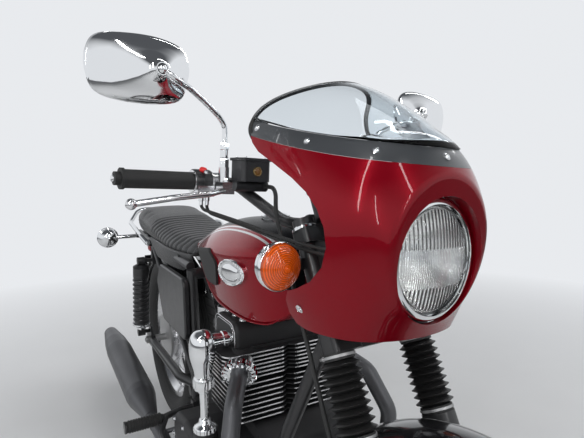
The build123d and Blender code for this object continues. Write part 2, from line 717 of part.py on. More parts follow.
def seat_base(x):
    return SEAT_BASE_Z + (x - SEAT_BASE_X) * SEAT_SLOPE


def tunnel_z(x):
    return TUNNEL_Z + (x - TUNNEL_X) * TUNNEL_SLOPE


def seat_pads(side):
    """Rubber-sized blocks on the rail, flush with the seat's underside."""
    pads = Part()
    for x in (430, 20):
        pads += side_plate([(x - 20, seat_base(x - 20)), (x + 20, seat_base(x + 20)),
                            (x + 20, seat_base(x + 20) - 12), (x - 20, seat_base(x - 20) - 12)],
                           side * 104, side * 120)
    return pads


# Engine

def crankcase():
    """The crankcase and its covers as one block, with the chain's drive wheel."""
    outline = [(985, 300), (985, 392), (945, CASE_TOP), (705, CASE_TOP), (640, 415), (592, 392), (592, 300),
               (640, 228), (930, 228)]
    body = side_plate(outline, -92, 92, 24)
    body -= block((580, 706), (70, 100), (200, CASE_TOP))
    cover = [(968, 330), (950, 396), (800, 408), (712, 396), (700, 340), (716, 268), (880, 246), (950, 272)]
    for side, depth in ((-1, 222), (1, 196)):
        shell = side_plate(cover, side * 92, side * depth, 26)
        rim = shell.faces().sort_by(Axis.Y)[0 if side < 0 else -1].edges()
        body += fillet(rim, 16)
    body += Pos(BEVEL_X, -BEVEL_Y + 6, 360) * extrude(Circle(27), BEVEL_FOOT - 360)
    turn = [turn for _, _, leg, turn in chain_spots() if leg == 2][0]
    body += disc(DRIVE_X, DRIVE_Z, 12, 68, CHAIN_Y + 8)
    return body + toothed_plate(DRIVE_X, DRIVE_Z, DRIVE_TEETH, 11, turn)


def fin(half_x, half_y, thickness):
    """A cooling fin whose outline bulges around each of the two cylinders."""
    lobe = RectangleRounded(2 * half_x, half_y + 6, 26)
    return extrude(Sketch() + [Pos(0, side * half_y / 2) * lobe for side in SIDES], thickness)


def cylinders():
    """Both barrels with their fins."""
    body = Pos(CYL_X, 0, (CASE_TOP + HEAD_Z) / 2) * Box(100, 60, HEAD_Z - CASE_TOP)
    for side in SIDES:
        body += Pos(CYL_X, side * CYL_Y, CASE_TOP) * extrude(Circle(56), HEAD_Z - CASE_TOP)
    for n in range(8):
        body += Pos(CYL_X, 0, CASE_TOP + 10 + 12.5 * n) * fin(88, 138, 3)
    return body


def cylinder_head():
    """The finned head with its intake stubs and exhaust ports."""
    body = block((CYL_X - 74, CYL_X + 74), (-125, 125), (HEAD_Z, COVER_Z))
    for n in range(7):
        body += Pos(CYL_X, 0, HEAD_Z + 6 + 9.4 * n) * fin(96, 160, 3.2)
    way = Vector(*PORT_WAY)
    for side in SIDES:
        mouth = Vector(PORT[0], side * PORT[1], PORT[2])
        back = Vector(way.X, side * way.Y, way.Z) * 60
        body += rod(mouth - back, mouth, 29)
        body += rod((CYL_X - 60, side * 60, 588), (738, side * 60, 588), 24)
        body -= port_plane(side) * extrude(Circle(40), 60)
    return body - block((CYL_X - 150, CYL_X + 150), (-200, 200), (COVER_Z, COVER_Z + 40))


def cam_cover():
    body = block((CYL_X - 68, CYL_X + 68), (-125, 125), (COVER_Z, 668))
    body = fillet(body.edges().filter_by(Axis.Y).group_by(Axis.Z)[-1], 26)
    return fillet(body.edges().filter_by(Axis.X).group_by(Axis.Z)[-1], 12)


def bevel_tower():
    """The cam drive's shaft tower on the engine's right side."""
    edge = [(0, BEVEL_FOOT), (26, BEVEL_FOOT), (26, 434), (14, 446), (9, 450), (9, 518), (23, 524), (23, 550),
            (19, 554), (24, 578), (30, 600), (30, 630), (24, 650), (10, 660), (0, 660)]
    tower = turned(edge, Pos(BEVEL_X, -BEVEL_Y + 6, 0))
    return tower + rod((BEVEL_X, -BEVEL_Y + 6, 628), (BEVEL_X, -125, 628), 18)


def carburettors():
    """Two carburettors on the intake stubs."""
    def one(side):
        y = side * 60
        body = rod((738, y, 588), (646, y, 588), 24) + rod((708, y, 588), (690, y, 588), 31)
        body += Pos(692, y, 546) * extrude(Circle(24), 40)
        return body + Pos(700, y, 588) * extrude(Circle(27), 62)
    return pair(one)


def port_plane(side):
    mouth = Vector(PORT[0], side * PORT[1], PORT[2])
    return Plane(origin=mouth, z_dir=(PORT_WAY[0], side * PORT_WAY[1], PORT_WAY[2]))


def exhaust_collars():
    """Finned clamps that hold the pipes in the head."""
    def one(side):
        body = extrude(Circle(27) - Circle(PIPE_R + SKIN_GAP), 14)
        for n in range(15):
            body += Rot(0, 0, 24 * n) * Pos(30, 0, 7) * Box(14, 5, 14)
        return port_plane(side) * body
    return pair(one)


def exhausts():
    """Each side's header pipe and tapered silencer."""
    def one(side):
        start = port_plane(side)
        way = start.z_dir
        first = start.origin + way * 96
        joint = Vector(470, side * 230, 268)
        tail = Vector(-250, side * 236, 314)
        points = [start.origin, first, (1060, side * 205, 440), (1030, side * 200, 190), (880, side * 192, 178),
                  (600, side * 214, 236), joint]
        points = [(p.X, p.Y, p.Z) if isinstance(p, Vector) else p for p in points]
        length = (tail - joint).length
        edge = [(0, -2), (PIPE_R, -2), (23, 16), (44, 120), (47, 150), (47, 520), (42, 600), (30, length - 24),
                (27, length), (20, length), (20, length - 80), (0, length - 80)]
        silencer = turned(edge, Plane(origin=joint, z_dir=tail - joint))
        mount = rod((590, side * 122, 277), (545, side * 221, 250), 7)
        mount += block((582, 598), (side * 118, side * 126), (270, 310))
        return pipe(points, PIPE_R, [44, 60, 60, 60, 60]) + silencer + mount
    return pair(one)


# Tank and seat, lofted through rounded sections:
# x, foot half width, shoulder half width, foot z, shoulder z, top z, corner
TANK_RINGS = [
    (1079, 52, 58, 736, 846, 862, 17),
    (1038, 88, 100, 700, 850, 886, 26),
    (950, 112, 128, 688, 838, 900, 33),
    (800, 118, 134, 694, 822, 898, 33),
    (650, 96, 112, 720, 806, 872, 26),
    (530, 72, 84, 746, 794, 834, 15),
]
SEAT_RINGS = [
    (526, 90, 98, 740, 782, 800, 13),
    (420, 118, 128, 740, 780, 806, 13),
    (200, 128, 138, 745, 800, 826, 13),
    (20, 128, 138, 745, 822, 850, 14),
    (-150, 112, 122, 760, 832, 858, 15),
    (-196, 92, 98, 778, 826, 848, 12),
]


def saddle_ring(x, foot_half, half, foot_z, shoulder_z, top_z, corner):
    """A section with a flat foot, leaning sides and an arched top."""
    edge = [
        Line((-foot_half, foot_z), (foot_half, foot_z)),
        Line((foot_half, foot_z), (half, shoulder_z)),
        ThreePointArc((half, shoulder_z), (0, top_z), (-half, shoulder_z)),
        Line((-half, shoulder_z), (-foot_half, foot_z)),
    ]
    face = make_face(edge)
    face = fillet(face.vertices().sort_by(Axis.Y)[2:], corner)
    face = fillet(face.vertices().sort_by(Axis.Y)[:2], 8)
    return section(x, face)


def tank_form(grow=0.0):
    """The tank's outer form, or one that stands off it by the same distance all over."""
    rings = []
    for x, foot_half, half, foot_z, shoulder_z, top_z, corner in TANK_RINGS:
        rings.append(saddle_ring(x, foot_half + grow, half + grow, foot_z, shoulder_z, top_z + grow, corner))
    return loft(rings)


def fuel_tank():
    """The tank, with the tunnel that straddles the backbone."""
    form = tank_form()
    tunnel = [(480, 600), (480, tunnel_z(480)), (1140, tunnel_z(1140)), (1140, 600)]
    form -= side_plate(tunnel, -34, 34)
    return form - Pos(885, 0, 888) * extrude(Circle(34), 30)


def tank_trim():
    """The filler cap and the plain oval badge on each side."""
    cap = Pos(885, 0, 888) * extrude(Circle(31), 18)
    oval = Pos(915, 790) * Rot(0, 0, 8) * Ellipse(52, 21)
    skin = tank_form(4) - tank_form(SKIN_GAP)
    return Part() + [cap] + [skin & flat_plate(oval, side * 60, side * 200) for side in SIDES]


def knee_pads():
    """Rubber pads for the knees on the tank's flanks."""
    outline = Polyline((818, 738), (836, 800), (780, 826), (640, 806), (596, 780), (618, 742), (720, 732),
                       close=True)
    face = fillet(make_face(outline).vertices(), 16)
    skin = tank_form(6) - tank_form(SKIN_GAP)
    return pair(lambda side: skin & flat_plate(face, side * 50, side * 200))


def seat():
    """The long seat, on a flat base."""
    form = loft([saddle_ring(*row) for row in SEAT_RINGS])
    under = [(600, 600), (600, seat_base(600)), (-300, seat_base(-300)), (-300, 600)]
    return form - side_plate(under, -200, 200)


def side_covers():
    outline = [(574, 520), (574, 704), (300, 704), (250, 640), (320, 520)]

    def one(side):
        plate = side_plate(outline, side * 128, side * 144, 26)
        rim = plate.faces().sort_by(Axis.Y)[0 if side < 0 else -1].edges()
        return fillet(rim, 6)
    return pair(one)


# Rear end

def swingarm():
    """The swinging arm: pivot tube, two arms and the axle's slotted ends."""
    body = rod((PIVOT_X, -102, PIVOT_Z), (PIVOT_X, 102, PIVOT_Z), 19)
    body += rod((420, -104, PIVOT_Z), (420, 104, PIVOT_Z), 12)
    for side in SIDES:
        body += pipe([(PIVOT_X, side * 78, PIVOT_Z), (400, side * ARM_Y, PIVOT_Z), (20, side * ARM_Y, PIVOT_Z)],
                     15, [80])
        end = side_plate([(40, 324), (40, 366), (-44, 366), (-44, 324)], side * 110, side * 126, 8)
        slot = side_plate([(24, 336.2), (24, 353.8), (-24, 353.8), (-24, 336.2)], side * 100, side * 136, 8.6)
        body += end
        body += side_plate([(40, 340), (30, 404), (-4, 404), (-14, 366), (-14, 340)], side * 120, side * 126)
        body += disc(SHOCK_LOW[0], SHOCK_LOW[2], 7, side * 122, side * (SHOCK_LOW[1] - 13))
        body -= slot
    return body


def chain_guard():
    """A strip over the chain's upper run, held on the left arm."""
    outline = [(70, 452), (70, 424), (470, 404), (470, 426)]
    body = side_plate(outline, 94, 96.5, 6)
    body += side_plate([(76, 451.4), (76, 448.9), (464, 423.8), (464, 426.3)], 70, 96)
    for x, high in ((110, 440), (430, 416)):
        body += block((x - 8, x + 8), (96, 118), (362, high))
    return body - rod((20, ARM_Y, PIVOT_Z), (500, ARM_Y, PIVOT_Z), 15 + SKIN_GAP)


def rear_axle():
    """The rear axle with its spacers, nuts and the drum's closing plate."""
    x, _, z = REAR_AXLE
    body = disc(x, z, AXLE_R, -142, 142)
    for side in SIDES:
        body += disc(x, z, 13, side * (REAR_HUB_HALF + SIDE_GAP), side * 110)
        body += disc(x, z, 15, side * 126, side * 138)
    return body + disc(x, z, 90, -REAR_HUB_HALF - 1, -REAR_HUB_HALF - 10)


def chain_run():
    """The middles of the two toothed wheels, their radii and the run's lean and taper."""
    rear, drive = (REAR_AXLE[0], REAR_AXLE_Z), (DRIVE_X, DRIVE_Z)
    big, small = pitch_radius(WHEEL_TEETH), pitch_radius(DRIVE_TEETH)
    span = hypot(drive[0] - rear[0], drive[1] - rear[1])
    lean = atan2(drive[1] - rear[1], drive[0] - rear[0])
    return rear, drive, big, small, span, lean, asin((big - small) / span)


def chain_loop(offset):
    """The face inside the chain's path, moved outwards by offset."""
    rear, drive, big, small, _, lean, taper = chain_run()

    def spot(centre, radius, turn):
        reach = radius + offset
        return centre[0] + reach * cos(turn), centre[1] + reach * sin(turn)
    top, low = lean + pi / 2 - taper, lean - pi / 2 + taper
    edge = [
        ThreePointArc(spot(rear, big, top), spot(rear, big, lean + pi), spot(rear, big, low)),
        Line(spot(rear, big, low), spot(drive, small, low)),
        ThreePointArc(spot(drive, small, low), spot(drive, small, lean), spot(drive, small, top)),
        Line(spot(drive, small, top), spot(rear, big, top)),
    ]
    return make_face(edge)


def chain_legs():
    """The path in legs from the back of the rear wheel: links, middle, radius, turn, turn a link, step."""
    rear, drive, big, small, span, lean, taper = chain_run()
    step_big, step_small = 2 * pi / WHEEL_TEETH, 2 * pi / DRIVE_TEETH
    low, top = lean - pi / 2 + taper, lean + pi / 2 - taper
    straight = span * cos(taper) / CHAIN_PITCH
    return [
        ((pi + low) / step_big, rear, big, pi, step_big, 0.0),
        (straight, rear, big, low, 0.0, CHAIN_PITCH),
        ((top - low) / step_small, drive, small, low, step_small, 0.0),
        (straight, drive, small, top, 0.0, CHAIN_PITCH),
        ((pi - top) / step_big, rear, big, top, step_big, 0.0),
    ]


def chain_spots():
    """Where each roller sits, the first at the back of the rear wheel, and its leg."""
    spots = []
    for n in range(CHAIN_LINKS):
        gone = float(n)
        for leg, (links, centre, radius, turn, turn_step, step) in enumerate(chain_legs()):
            if gone < links:
                break
            gone -= links
        turn += gone * turn_step
        way, along = turn + pi / 2, gone * step
        spots.append((centre[0] + radius * cos(turn) + along * cos(way),
                      centre[1] + radius * sin(turn) + along * sin(way), leg, turn))
    return spots


def drive_chain():
    """The chain: a side plate each way around the loop, joined by its rollers."""
    band = chain_loop(6.5) - chain_loop(-6.5)
    rollers = Sketch() + [Pos(x, z) * RegularPolygon(ROLLER_R, 6) for x, z, *_ in chain_spots()]
    body = flat_plate(rollers, CHAIN_Y - 4, CHAIN_Y + 4)
    return body + flat_plate(band, CHAIN_Y + 4, CHAIN_Y + 6) + flat_plate(band, CHAIN_Y - 6, CHAIN_Y - 4)


def rear_shocks():
    """Spring legs between the frame's studs and the arm's."""
    def one(side):
        top = Vector(SHOCK_TOP[0], side * SHOCK_TOP[1], SHOCK_TOP[2])
        low = Vector(SHOCK_LOW[0], side * SHOCK_LOW[1], SHOCK_LOW[2])
        length = (top - low).length
        edge = [(0, 10), (13, 10), (15, 34), (26, 40), (26, length - 66), (29, length - 64), (29, length - 22),
                (14, length - 12), (0, length - 12)]
        leg = turned(edge, Plane(origin=low, z_dir=top - low))
        eyes = [disc(p.X, p.Z, 15, side * (SHOCK_TOP[1] - 13), side * (SHOCK_TOP[1] + 13)) for p in (top, low)]
        return leg + eyes
    return pair(one)


def rear_fender():
    """The rear mudguard with its hangers, the lamp's stand and the plate's bracket."""
    body = mudguard(REAR_AXLE, REAR_FENDER_R, 78, 30, 150, -190)
    for x in (75, -142):
        body += block((x - 12, x + 12), (-16, 16), (REAR_AXLE_Z + 320, 730))
    stand = [(-196, 640), (-214, 726), (-285, 726), (-285, 560), (-262, 540)]
    body += side_plate(stand, -30, 30)
    body += block((-288, -285), (-70, 70), (545, 632))
    holes = [Pos(-300, y, 600) * Rot(0, 90, 0) * extrude(Circle(3.5), 40) for y in (-57, 57)]
    under = disc(0, REAR_AXLE_Z, REAR_FENDER_R - 4, -40, 40)
    return body - under - holes


def tail_lamp():
    lens = block((-335, -285), (-46, 46), (640, 726))
    lens = fillet(lens.edges().filter_by(Axis.X), 16)
    return fillet(lens.faces().sort_by(Axis.X)[0].edges(), 10)


def grab_rail():
    """The rail around the seat's tail, on the frame's lugs."""
    way = [(110, 140, 748), (70, 152, 770), (-150, 148, 800), (-250, 96, 842)]
    points = way + [(x, -y, z) for x, y, z in way[::-1]]
    rail = pipe(points, 8, [30, 60, 60, 60, 60, 30])
    for side in SIDES:
        rail += block((98, 122), (side * 126, side * 140), (738, 758))
    return rail


def foot_controls():
    """Rider's pegs with their arms, and the two pedals."""
    def one(side):
        body = block((578, 602), (side * 128, side * 136), (312, 348))
        body += pipe([(590, side * 134, 330), (590, side * 170, 330), (654, side * 240, 352)], 9, [40])
        body += disc(654, 352, 12, side * 236, side * 332) + disc(654, 352, 16, side * 332, side * 337)
        body += pipe([(654, side * 226, 352), (700, side * 252, 338), (816, side * 258, 330)], 6, [40])
        return body + disc(816, 330, 10, side * 246, side * 292)
    return pair(one)


# Stands

def centre_stand():
    """The stand's cross tube, pins, legs and feet, lowered."""
    px, _, pz = STAND_PIVOT
    foot_x, foot_y = STAND_FOOT
    body = disc(px, pz, 14, -86 + SIDE_GAP, 86 - SIDE_GAP)
    body += disc(px, pz, STAND_PIN_R, -96, 96)
    for side in SIDES:
        body += pipe([(px, side * 68, pz), (px + 10, side * 78, 150), (foot_x - 2, side * (foot_y - 8), 10)],
                     12, [60])
        body += block((foot_x - 34, foot_x + 30), (side * (foot_y - 26), side * (foot_y + 22)), (0, 10))
    return body


def prop_frame():
    """The side stand's plane: its normal is the axis it turns about."""
    axis = Vector(*PROP_FOLDED).cross(Vector(*PROP_DOWN)).normalized()
    return Plane(origin=Vector(*PROP_PIVOT), x_dir=Vector(*PROP_FOLDED), z_dir=axis)


def prop_lug():
    """The drilled lug on the left cradle tube."""
    plate = extrude(Circle(15), 5, both=True) + Pos(0, -24) * Box(26, 48, 10)
    plate = prop_frame() * (plate - extrude(Circle(6 + SHAFT_GAP), 9, both=True))
    return plate + block((706, 734), (100, 138), (220, 247))


def side_stand():
    """The side stand folded back along the frame."""
    body = extrude(Circle(6), 12, both=True)
    for side in SIDES:
        ear = extrude(Circle(14), 6) + Pos(16, 0, 3) * Box(32, 24, 6)
        body += Pos(0, 0, 5 + SIDE_GAP if side > 0 else -11 - SIDE_GAP) * ear
    body += Pos(30, 0) * Box(22, 24, 22.6)
    body += rod((34, 0, 0), (PROP_LENGTH - 4, 0, 0), 9)
    foot = Pos(PROP_LENGTH - 6, 0) * Rot(0, 90, 0) * extrude(RectangleRounded(34, 44, 12), 6)
    return prop_frame() * (body + foot)


STEERED = {
    "fork_yokes": fork_yokes, "fork_gaiters": fork_gaiters, "fork_sliders": fork_sliders,
    "brake_caliper": brake_caliper, "front_fender": front_fender, "headlight_shell": headlight_shell,
    "headlight_rim": headlight_rim, "headlight_lens": headlight_lens, "fairing": fairing,
    "screen_band": screen_band, "windscreen": windscreen, "handlebar": handlebar, "grips": grips,
    "bar_controls": bar_controls, "brake_reservoir": brake_reservoir, "mirrors": mirrors,
    "front_signal_shells": front_signal_shells, "front_signal_lenses": front_signal_lenses,
    "control_cables": control_cables, "instruments": instruments, "front_tyre": front_tyre, "front_wheel": front_wheel,
    "brake_disc": brake_disc,
}
FIXED = {
    "rear_tyre": rear_tyre, "rear_wheel": rear_wheel, "sprocket": sprocket, "main_frame": main_frame,
    "crankcase": crankcase, "cylinders": cylinders, "cylinder_head": cylinder_head, "cam_cover": cam_cover,
    "bevel_tower": bevel_tower, "carburettors": carburettors, "exhaust_collars": exhaust_collars,
    "exhausts": exhausts, "fuel_tank": fuel_tank, "tank_trim": tank_trim, "seat": seat,
    "side_covers": side_covers, "knee_pads": knee_pads, "drive_chain": drive_chain, "swingarm": swingarm,
    "chain_guard": chain_guard, "rear_axle": rear_axle, "rear_shocks": rear_shocks,
    "rear_fender": rear_fender, "tail_lamp": tail_lamp, "grab_rail": grab_rail,
    "rear_signal_shells": rear_signal_shells, "rear_signal_lenses": rear_signal_lenses,
    "foot_controls": foot_controls, "centre_stand": centre_stand, "side_stand": side_stand,
}


def write_parts():
    os.makedirs("parts", exist_ok=True)
    steering_axis = Axis(AXIS_FOOT, AXIS_UP)
    for name, make in STEERED.items():
        export_step(Pos(-MID_X, 0, 0) * make().rotate(steering_axis, STEER_REST), f"parts/{name}.step")
    for name, make in FIXED.items():
        export_step(Pos(-MID_X, 0, 0) * make(), f"parts/{name}.step")


write_parts()
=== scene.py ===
"""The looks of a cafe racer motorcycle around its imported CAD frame.

Metres, X forward, Y to the rider's left, Z up, the floor at zero. Positions are written in millimetres from
the rear axle's foot, as a maker would measure them, and set_out() brings them into the frame.
"""
import math

import bmesh
import bpy
from mathutils import Matrix, Vector


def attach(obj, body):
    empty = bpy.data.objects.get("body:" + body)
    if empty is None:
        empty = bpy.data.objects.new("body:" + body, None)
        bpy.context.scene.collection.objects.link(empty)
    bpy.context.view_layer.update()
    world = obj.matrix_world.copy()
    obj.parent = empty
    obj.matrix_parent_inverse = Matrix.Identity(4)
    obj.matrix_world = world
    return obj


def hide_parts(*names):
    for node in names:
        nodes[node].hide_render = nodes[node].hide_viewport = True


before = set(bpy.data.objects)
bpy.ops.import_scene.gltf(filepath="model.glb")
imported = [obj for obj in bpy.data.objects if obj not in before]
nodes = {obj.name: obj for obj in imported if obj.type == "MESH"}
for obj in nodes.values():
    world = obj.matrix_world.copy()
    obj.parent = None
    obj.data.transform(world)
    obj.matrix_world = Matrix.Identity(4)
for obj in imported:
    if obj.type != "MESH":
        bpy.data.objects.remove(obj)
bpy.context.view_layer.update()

AXLE_TO_MIDDLE = 718.0
STEERING_FOOT = Vector((1573.0, 0.0, 0.0))
RAKE = math.radians(27)
STEERING_UP = Vector((-math.sin(RAKE), 0, math.cos(RAKE)))
STEERING_AHEAD = Vector((math.cos(RAKE), 0, math.sin(RAKE)))
STEERED = Matrix.Rotation(math.radians(8.3), 3, STEERING_UP)
SIDES = (-1, 1)
FRONT_AXLE, FRONT_TYRE_RADIUS, FRONT_TYRE_WIDTH = (1465, 0, 309.6), 309.8, 90
REAR_AXLE, REAR_TYRE_RADIUS, REAR_TYRE_WIDTH = (0, 0, 345), 332.6, 130
FRONT_SIGNAL, REAR_SIGNAL, TAIL_LAMP = (1196, 172, 850), (-182, 235, 740), (-335, 0, 683)
LIGHT_MIDDLE = Vector((1374, 0, 877))
FORK_LEGS = (-97, 97)


def steer(point):
    """A point of the fork set straight, turned with the handlebar as the photograph has it."""
    return STEERING_FOOT + STEERED @ (point - STEERING_FOOT)


def to_frame(point):
    return Vector(((point.x - AXLE_TO_MIDDLE) / 1000, point.y / 1000, point.z / 1000))


def from_frame(place):
    return Vector((place.x * 1000 + AXLE_TO_MIDDLE, place.y * 1000, place.z * 1000))


def set_out(x, y, z, steered=False):
    """A point measured from the rear axle's foot, in millimetres, as a place in the frame."""
    point = Vector((x, y, z))
    return to_frame(steer(point) if steered else point)


def both_sides(place):
    """A place on the left and its twin on the right."""
    x, y, z = place
    return [(x, y, z), (x, -y, z)]


def spokes(count, right, up, start=0.0):
    """Unit vectors all round, from right towards up, the first turned by start of a step."""
    turns = [2 * math.pi * (n + start) / count for n in range(count)]
    return [Vector(right) * math.cos(turn) + Vector(up) * math.sin(turn) for turn in turns]


# Shader maths

class Value:
    """A number or vector that varies over a surface; arithmetic on it adds Math nodes."""

    def __init__(self, maker, socket):
        self.maker = maker
        self.socket = socket

    def maths(self, operation, *values, **settings):
        return self.maker.add("ShaderNodeMath", {"operation": operation, **settings}, list(values))

    def __add__(self, other):
        return self.maths("ADD", self, other)

    def __radd__(self, other):
        return self.maths("ADD", other, self)

    def __sub__(self, other):
        return self.maths("SUBTRACT", self, other)

    def __rsub__(self, other):
        return self.maths("SUBTRACT", other, self)

    def __mul__(self, other):
        return self.maths("MULTIPLY", self, other)

    def __rmul__(self, other):
        return self.maths("MULTIPLY", other, self)

    def __pow__(self, other):
        return self.maths("POWER", self, other)

    def __abs__(self):
        return self.maths("ABSOLUTE", self)

    def above(self, edge, soft):
        """0 below the edge and 1 above it, with a soft step between."""
        return self.maths("MULTIPLY", self - (edge - soft), 0.5 / soft, use_clamp=True)

    def inside(self, centre, half, soft):
        """1 within half of the centre, falling to 0 outside."""
        return 1 - abs(self - centre).above(half, soft)

    def larger(self, other):
        return self.maths("MAXIMUM", self, other)

    def smaller(self, other):
        return self.maths("MINIMUM", self, other)

    def wave(self, pitch, shift=0.0):
        """0 to 1 and back once every pitch."""
        return self.maths("SINE", self * (2 * math.pi / pitch) + shift) * 0.5 + 0.5


class Nodes:
    """A tree of nodes in the making."""

    def __init__(self, tree):
        self.tree = tree

    def add(self, kind, settings=None, inputs=(), output=0):
        """A node with its settings, then its inputs: a list in order, or a dictionary by name."""
        node = self.tree.nodes.new(kind)
        for key, value in (settings or {}).items():
            if key == "stops":
                self.set_stops(node.color_ramp, value)
            else:
                setattr(node, key, value)
        pairs = inputs.items() if isinstance(inputs, dict) else enumerate(inputs)
        for key, value in pairs:
            self.connect(value, node.inputs[key])
        return Value(self, node.outputs[output])

    def connect(self, value, socket):
        if isinstance(value, Value):
            self.tree.links.new(value.socket, socket)
        else:
            socket.default_value = value

    def set_stops(self, ramp, stops):
        while len(ramp.elements) < len(stops):
            ramp.elements.new(0.5)
        for element, (place, colour) in zip(ramp.elements, stops):
            element.position = place
            element.color = colour

    def axes(self, vector):
        """A vector's three parts."""
        split = self.add("ShaderNodeSeparateXYZ", None, [vector])
        return [Value(self, socket) for socket in split.socket.node.outputs]

    def ray(self, kind):
        """1 for the rays that Light Path names so."""
        return self.add("ShaderNodeLightPath", output=kind)


class Finish(Nodes):
    """A material in the making."""

    def __init__(self, name, colour, metallic=0.0, roughness=0.5, **constants):
        self.material = bpy.data.materials.new(name)
        self.material.use_nodes = True
        super().__init__(self.material.node_tree)
        self.shader = self.tree.nodes["Principled BSDF"]
        self.feed("Base Color", (*colour, 1.0))
        self.feed("Metallic", metallic)
        self.feed("Roughness", roughness)
        for socket, value in constants.items():
            self.feed(socket.replace("_", " "), value)

    def feed(self, socket, value):
        self.connect(value, self.shader.inputs[socket])

    @property
    def place(self):
        """Where a point of the surface is in the frame at rest."""
        return self.add("ShaderNodeTexCoord", output="Object")

    @property
    def facing(self):
        """The surface normal's three parts."""
        return self.axes(self.add("ShaderNodeNewGeometry", output="Normal"))

    def noise(self, scale, detail=3.0, roughness=0.5, stretch=None):
        place = self.place
        if stretch:
            place = self.add("ShaderNodeMapping", None, {"Vector": place, "Scale": stretch})
        return self.add("ShaderNodeTexNoise", None,
                        {"Vector": place, "Scale": scale, "Detail": detail, "Roughness": roughness})

    def cells(self, scale, feature="F1"):
        return self.add("ShaderNodeTexVoronoi", {"feature": feature}, {"Vector": self.place, "Scale": scale})

    def blend(self, share, low, high):
        """A colour between two, by share; the Mix node's colours are its sockets 6, 7 and 2."""
        low, high = (value if isinstance(value, Value) else (*value, 1.0) for value in (low, high))
        return self.add("ShaderNodeMix", {"data_type": "RGBA"}, {0: share, 6: low, 7: high}, 2)

    def bump(self, height, strength, distance):
        self.feed("Normal", self.add("ShaderNodeBump", None,
                                     {"Strength": strength, "Distance": distance, "Height": height}))


def local_axes(finish, centre, out, up, steered=False):
    """Distances of a surface point from a centre: along out, across, and along up, in metres."""
    out, up = Vector(out).normalized(), Vector(up).normalized()
    if steered:
        out, up = STEERED @ out, STEERED @ up
    side = up.cross(out).normalized()
    offset = finish.add("ShaderNodeVectorMath", {"operation": "SUBTRACT"},
                        [finish.place, set_out(*centre, steered=steered)])
    return [finish.add("ShaderNodeVectorMath", {"operation": "DOT_PRODUCT"}, [offset, tuple(way)], "Value")
            for way in (out, side, up)]


def from_axis(across, up):
    """How far a point is from an axis, by its two distances at right angles."""
    return (across * across + up * up) ** 0.5


# Finishes

RED_LOW, RED_HIGH = (0.20, 0.0006, 0.007), (0.29, 0.0012, 0.010)
TRIM_BLACK, TRIM_SILVER = (0.004, 0.004, 0.005), (0.86, 0.86, 0.87)


def candy_red(name="candy_red"):
    finish = Finish(name, (0.24, 0.001, 0.008), metallic=0.35, roughness=0.30, Coat_Weight=1.0,
                    Coat_Roughness=0.0, Coat_IOR=1.28, Specular_IOR_Level=0.05)
    flake = finish.cells(2600.0)
    finish.feed("Base Color", finish.blend(finish.noise(2.2, 2.0), RED_LOW, RED_HIGH))
    finish.feed("Roughness", 0.24 + flake * 0.12)
    finish.bump(finish.noise(28.0, 1.0), 0.02, 0.001)
    return finish


def tank_red():
    """Candy red with a black band along the top, edged by two silver lines on each side."""
    finish = candy_red("tank_red")
    _, y, z = finish.axes(finish.place)
    from_middle = abs(y)
    upper = z.above(0.775, 0.0005)
    band = (1 - from_middle.above(0.071, 0.0004)) * upper
    inner, outer = (from_middle.inside(middle, 0.0024, 0.0003) for middle in (0.0770, 0.0880))
    lines = inner.larger(outer) * upper
    red = finish.blend(finish.noise(2.2, 2.0), RED_LOW, RED_HIGH)
    finish.feed("Base Color", finish.blend(lines, finish.blend(band, red, TRIM_BLACK), TRIM_SILVER))
    finish.feed("Metallic", 0.35 - band * 0.35 + lines * 0.5)
    finish.feed("Coat Weight", 1 - band.larger(lines) * 0.8)
    return finish


def lacquer(name, colour, roughness, coat=0.0, ripple=0.03):
    finish = Finish(name, colour, roughness=roughness, Coat_Weight=coat, Coat_Roughness=0.04)
    dust = finish.noise(60.0, 4.0)
    finish.feed("Roughness", roughness * 0.85 + dust * (roughness * 0.3))
    lift = tuple(c * 1.7 + 0.004 for c in colour)
    finish.feed("Base Color", finish.blend(finish.noise(9.0, 3.0), colour, lift))
    finish.bump(finish.noise(420.0, 2.0), ripple, 0.0005)
    return finish


# Half length, half width, lowest and highest edge of each stack of fins, in metres
FIN_STACKS = ((0.088, 0.138, 0.4385, 0.5375), (0.096, 0.160, 0.5445, 0.609))
FIN_CORNER = 0.026
ENGINE_MIDDLE = 850


def engine_black():
    """Satin black castings; the machined edges of the fins are bare and polished."""
    finish = Finish("engine_black", (0.02, 0.02, 0.021), roughness=0.5)
    x, y, z = finish.axes(finish.place)
    middle = set_out(ENGINE_MIDDLE, 0, 0).x
    cast = finish.noise(900.0, 2.0)
    rims = []
    for half_x, half_y, low, high in FIN_STACKS:
        reach_x = (abs(x - middle) - (half_x - FIN_CORNER)).larger(0.0)
        reach_y = (abs(y) - (half_y - FIN_CORNER)).larger(0.0)
        rim = from_axis(reach_x, reach_y).above(FIN_CORNER - 0.0012, 0.0003)
        rims.append(rim * z.inside((low + high) / 2, (high - low) / 2, 0.0004))
    upright = 1 - abs(finish.facing[2]).above(0.6, 0.1)
    bare = rims[0].larger(rims[1]) * upright
    black = finish.blend(finish.noise(14.0, 4.0), (0.014, 0.014, 0.015), (0.034, 0.034, 0.036))
    finish.feed("Base Color", finish.blend(bare, black, (0.78, 0.78, 0.79)))
    finish.feed("Metallic", bare * 0.95)
    finish.feed("Roughness", 0.52 - bare * 0.30 + cast * 0.08)
    finish.bump(cast, 0.18, 0.0004)
    return finish


def bright(name, colour, roughness, grain=0.0):
    """Chrome and polished alloy: faint wipe marks, and grain where it is only brushed."""
    finish = Finish(name, colour, metallic=1.0, roughness=roughness)
    wipe = finish.noise(35.0, 5.0, 0.7)
    finish.feed("Roughness", roughness + wipe * (roughness * 0.9 + 0.015))
    if grain:
        lines = finish.noise(300.0, 2.0, stretch=(1.0, 1.0, 12.0))
        finish.bump(lines, grain, 0.0003)
    return finish


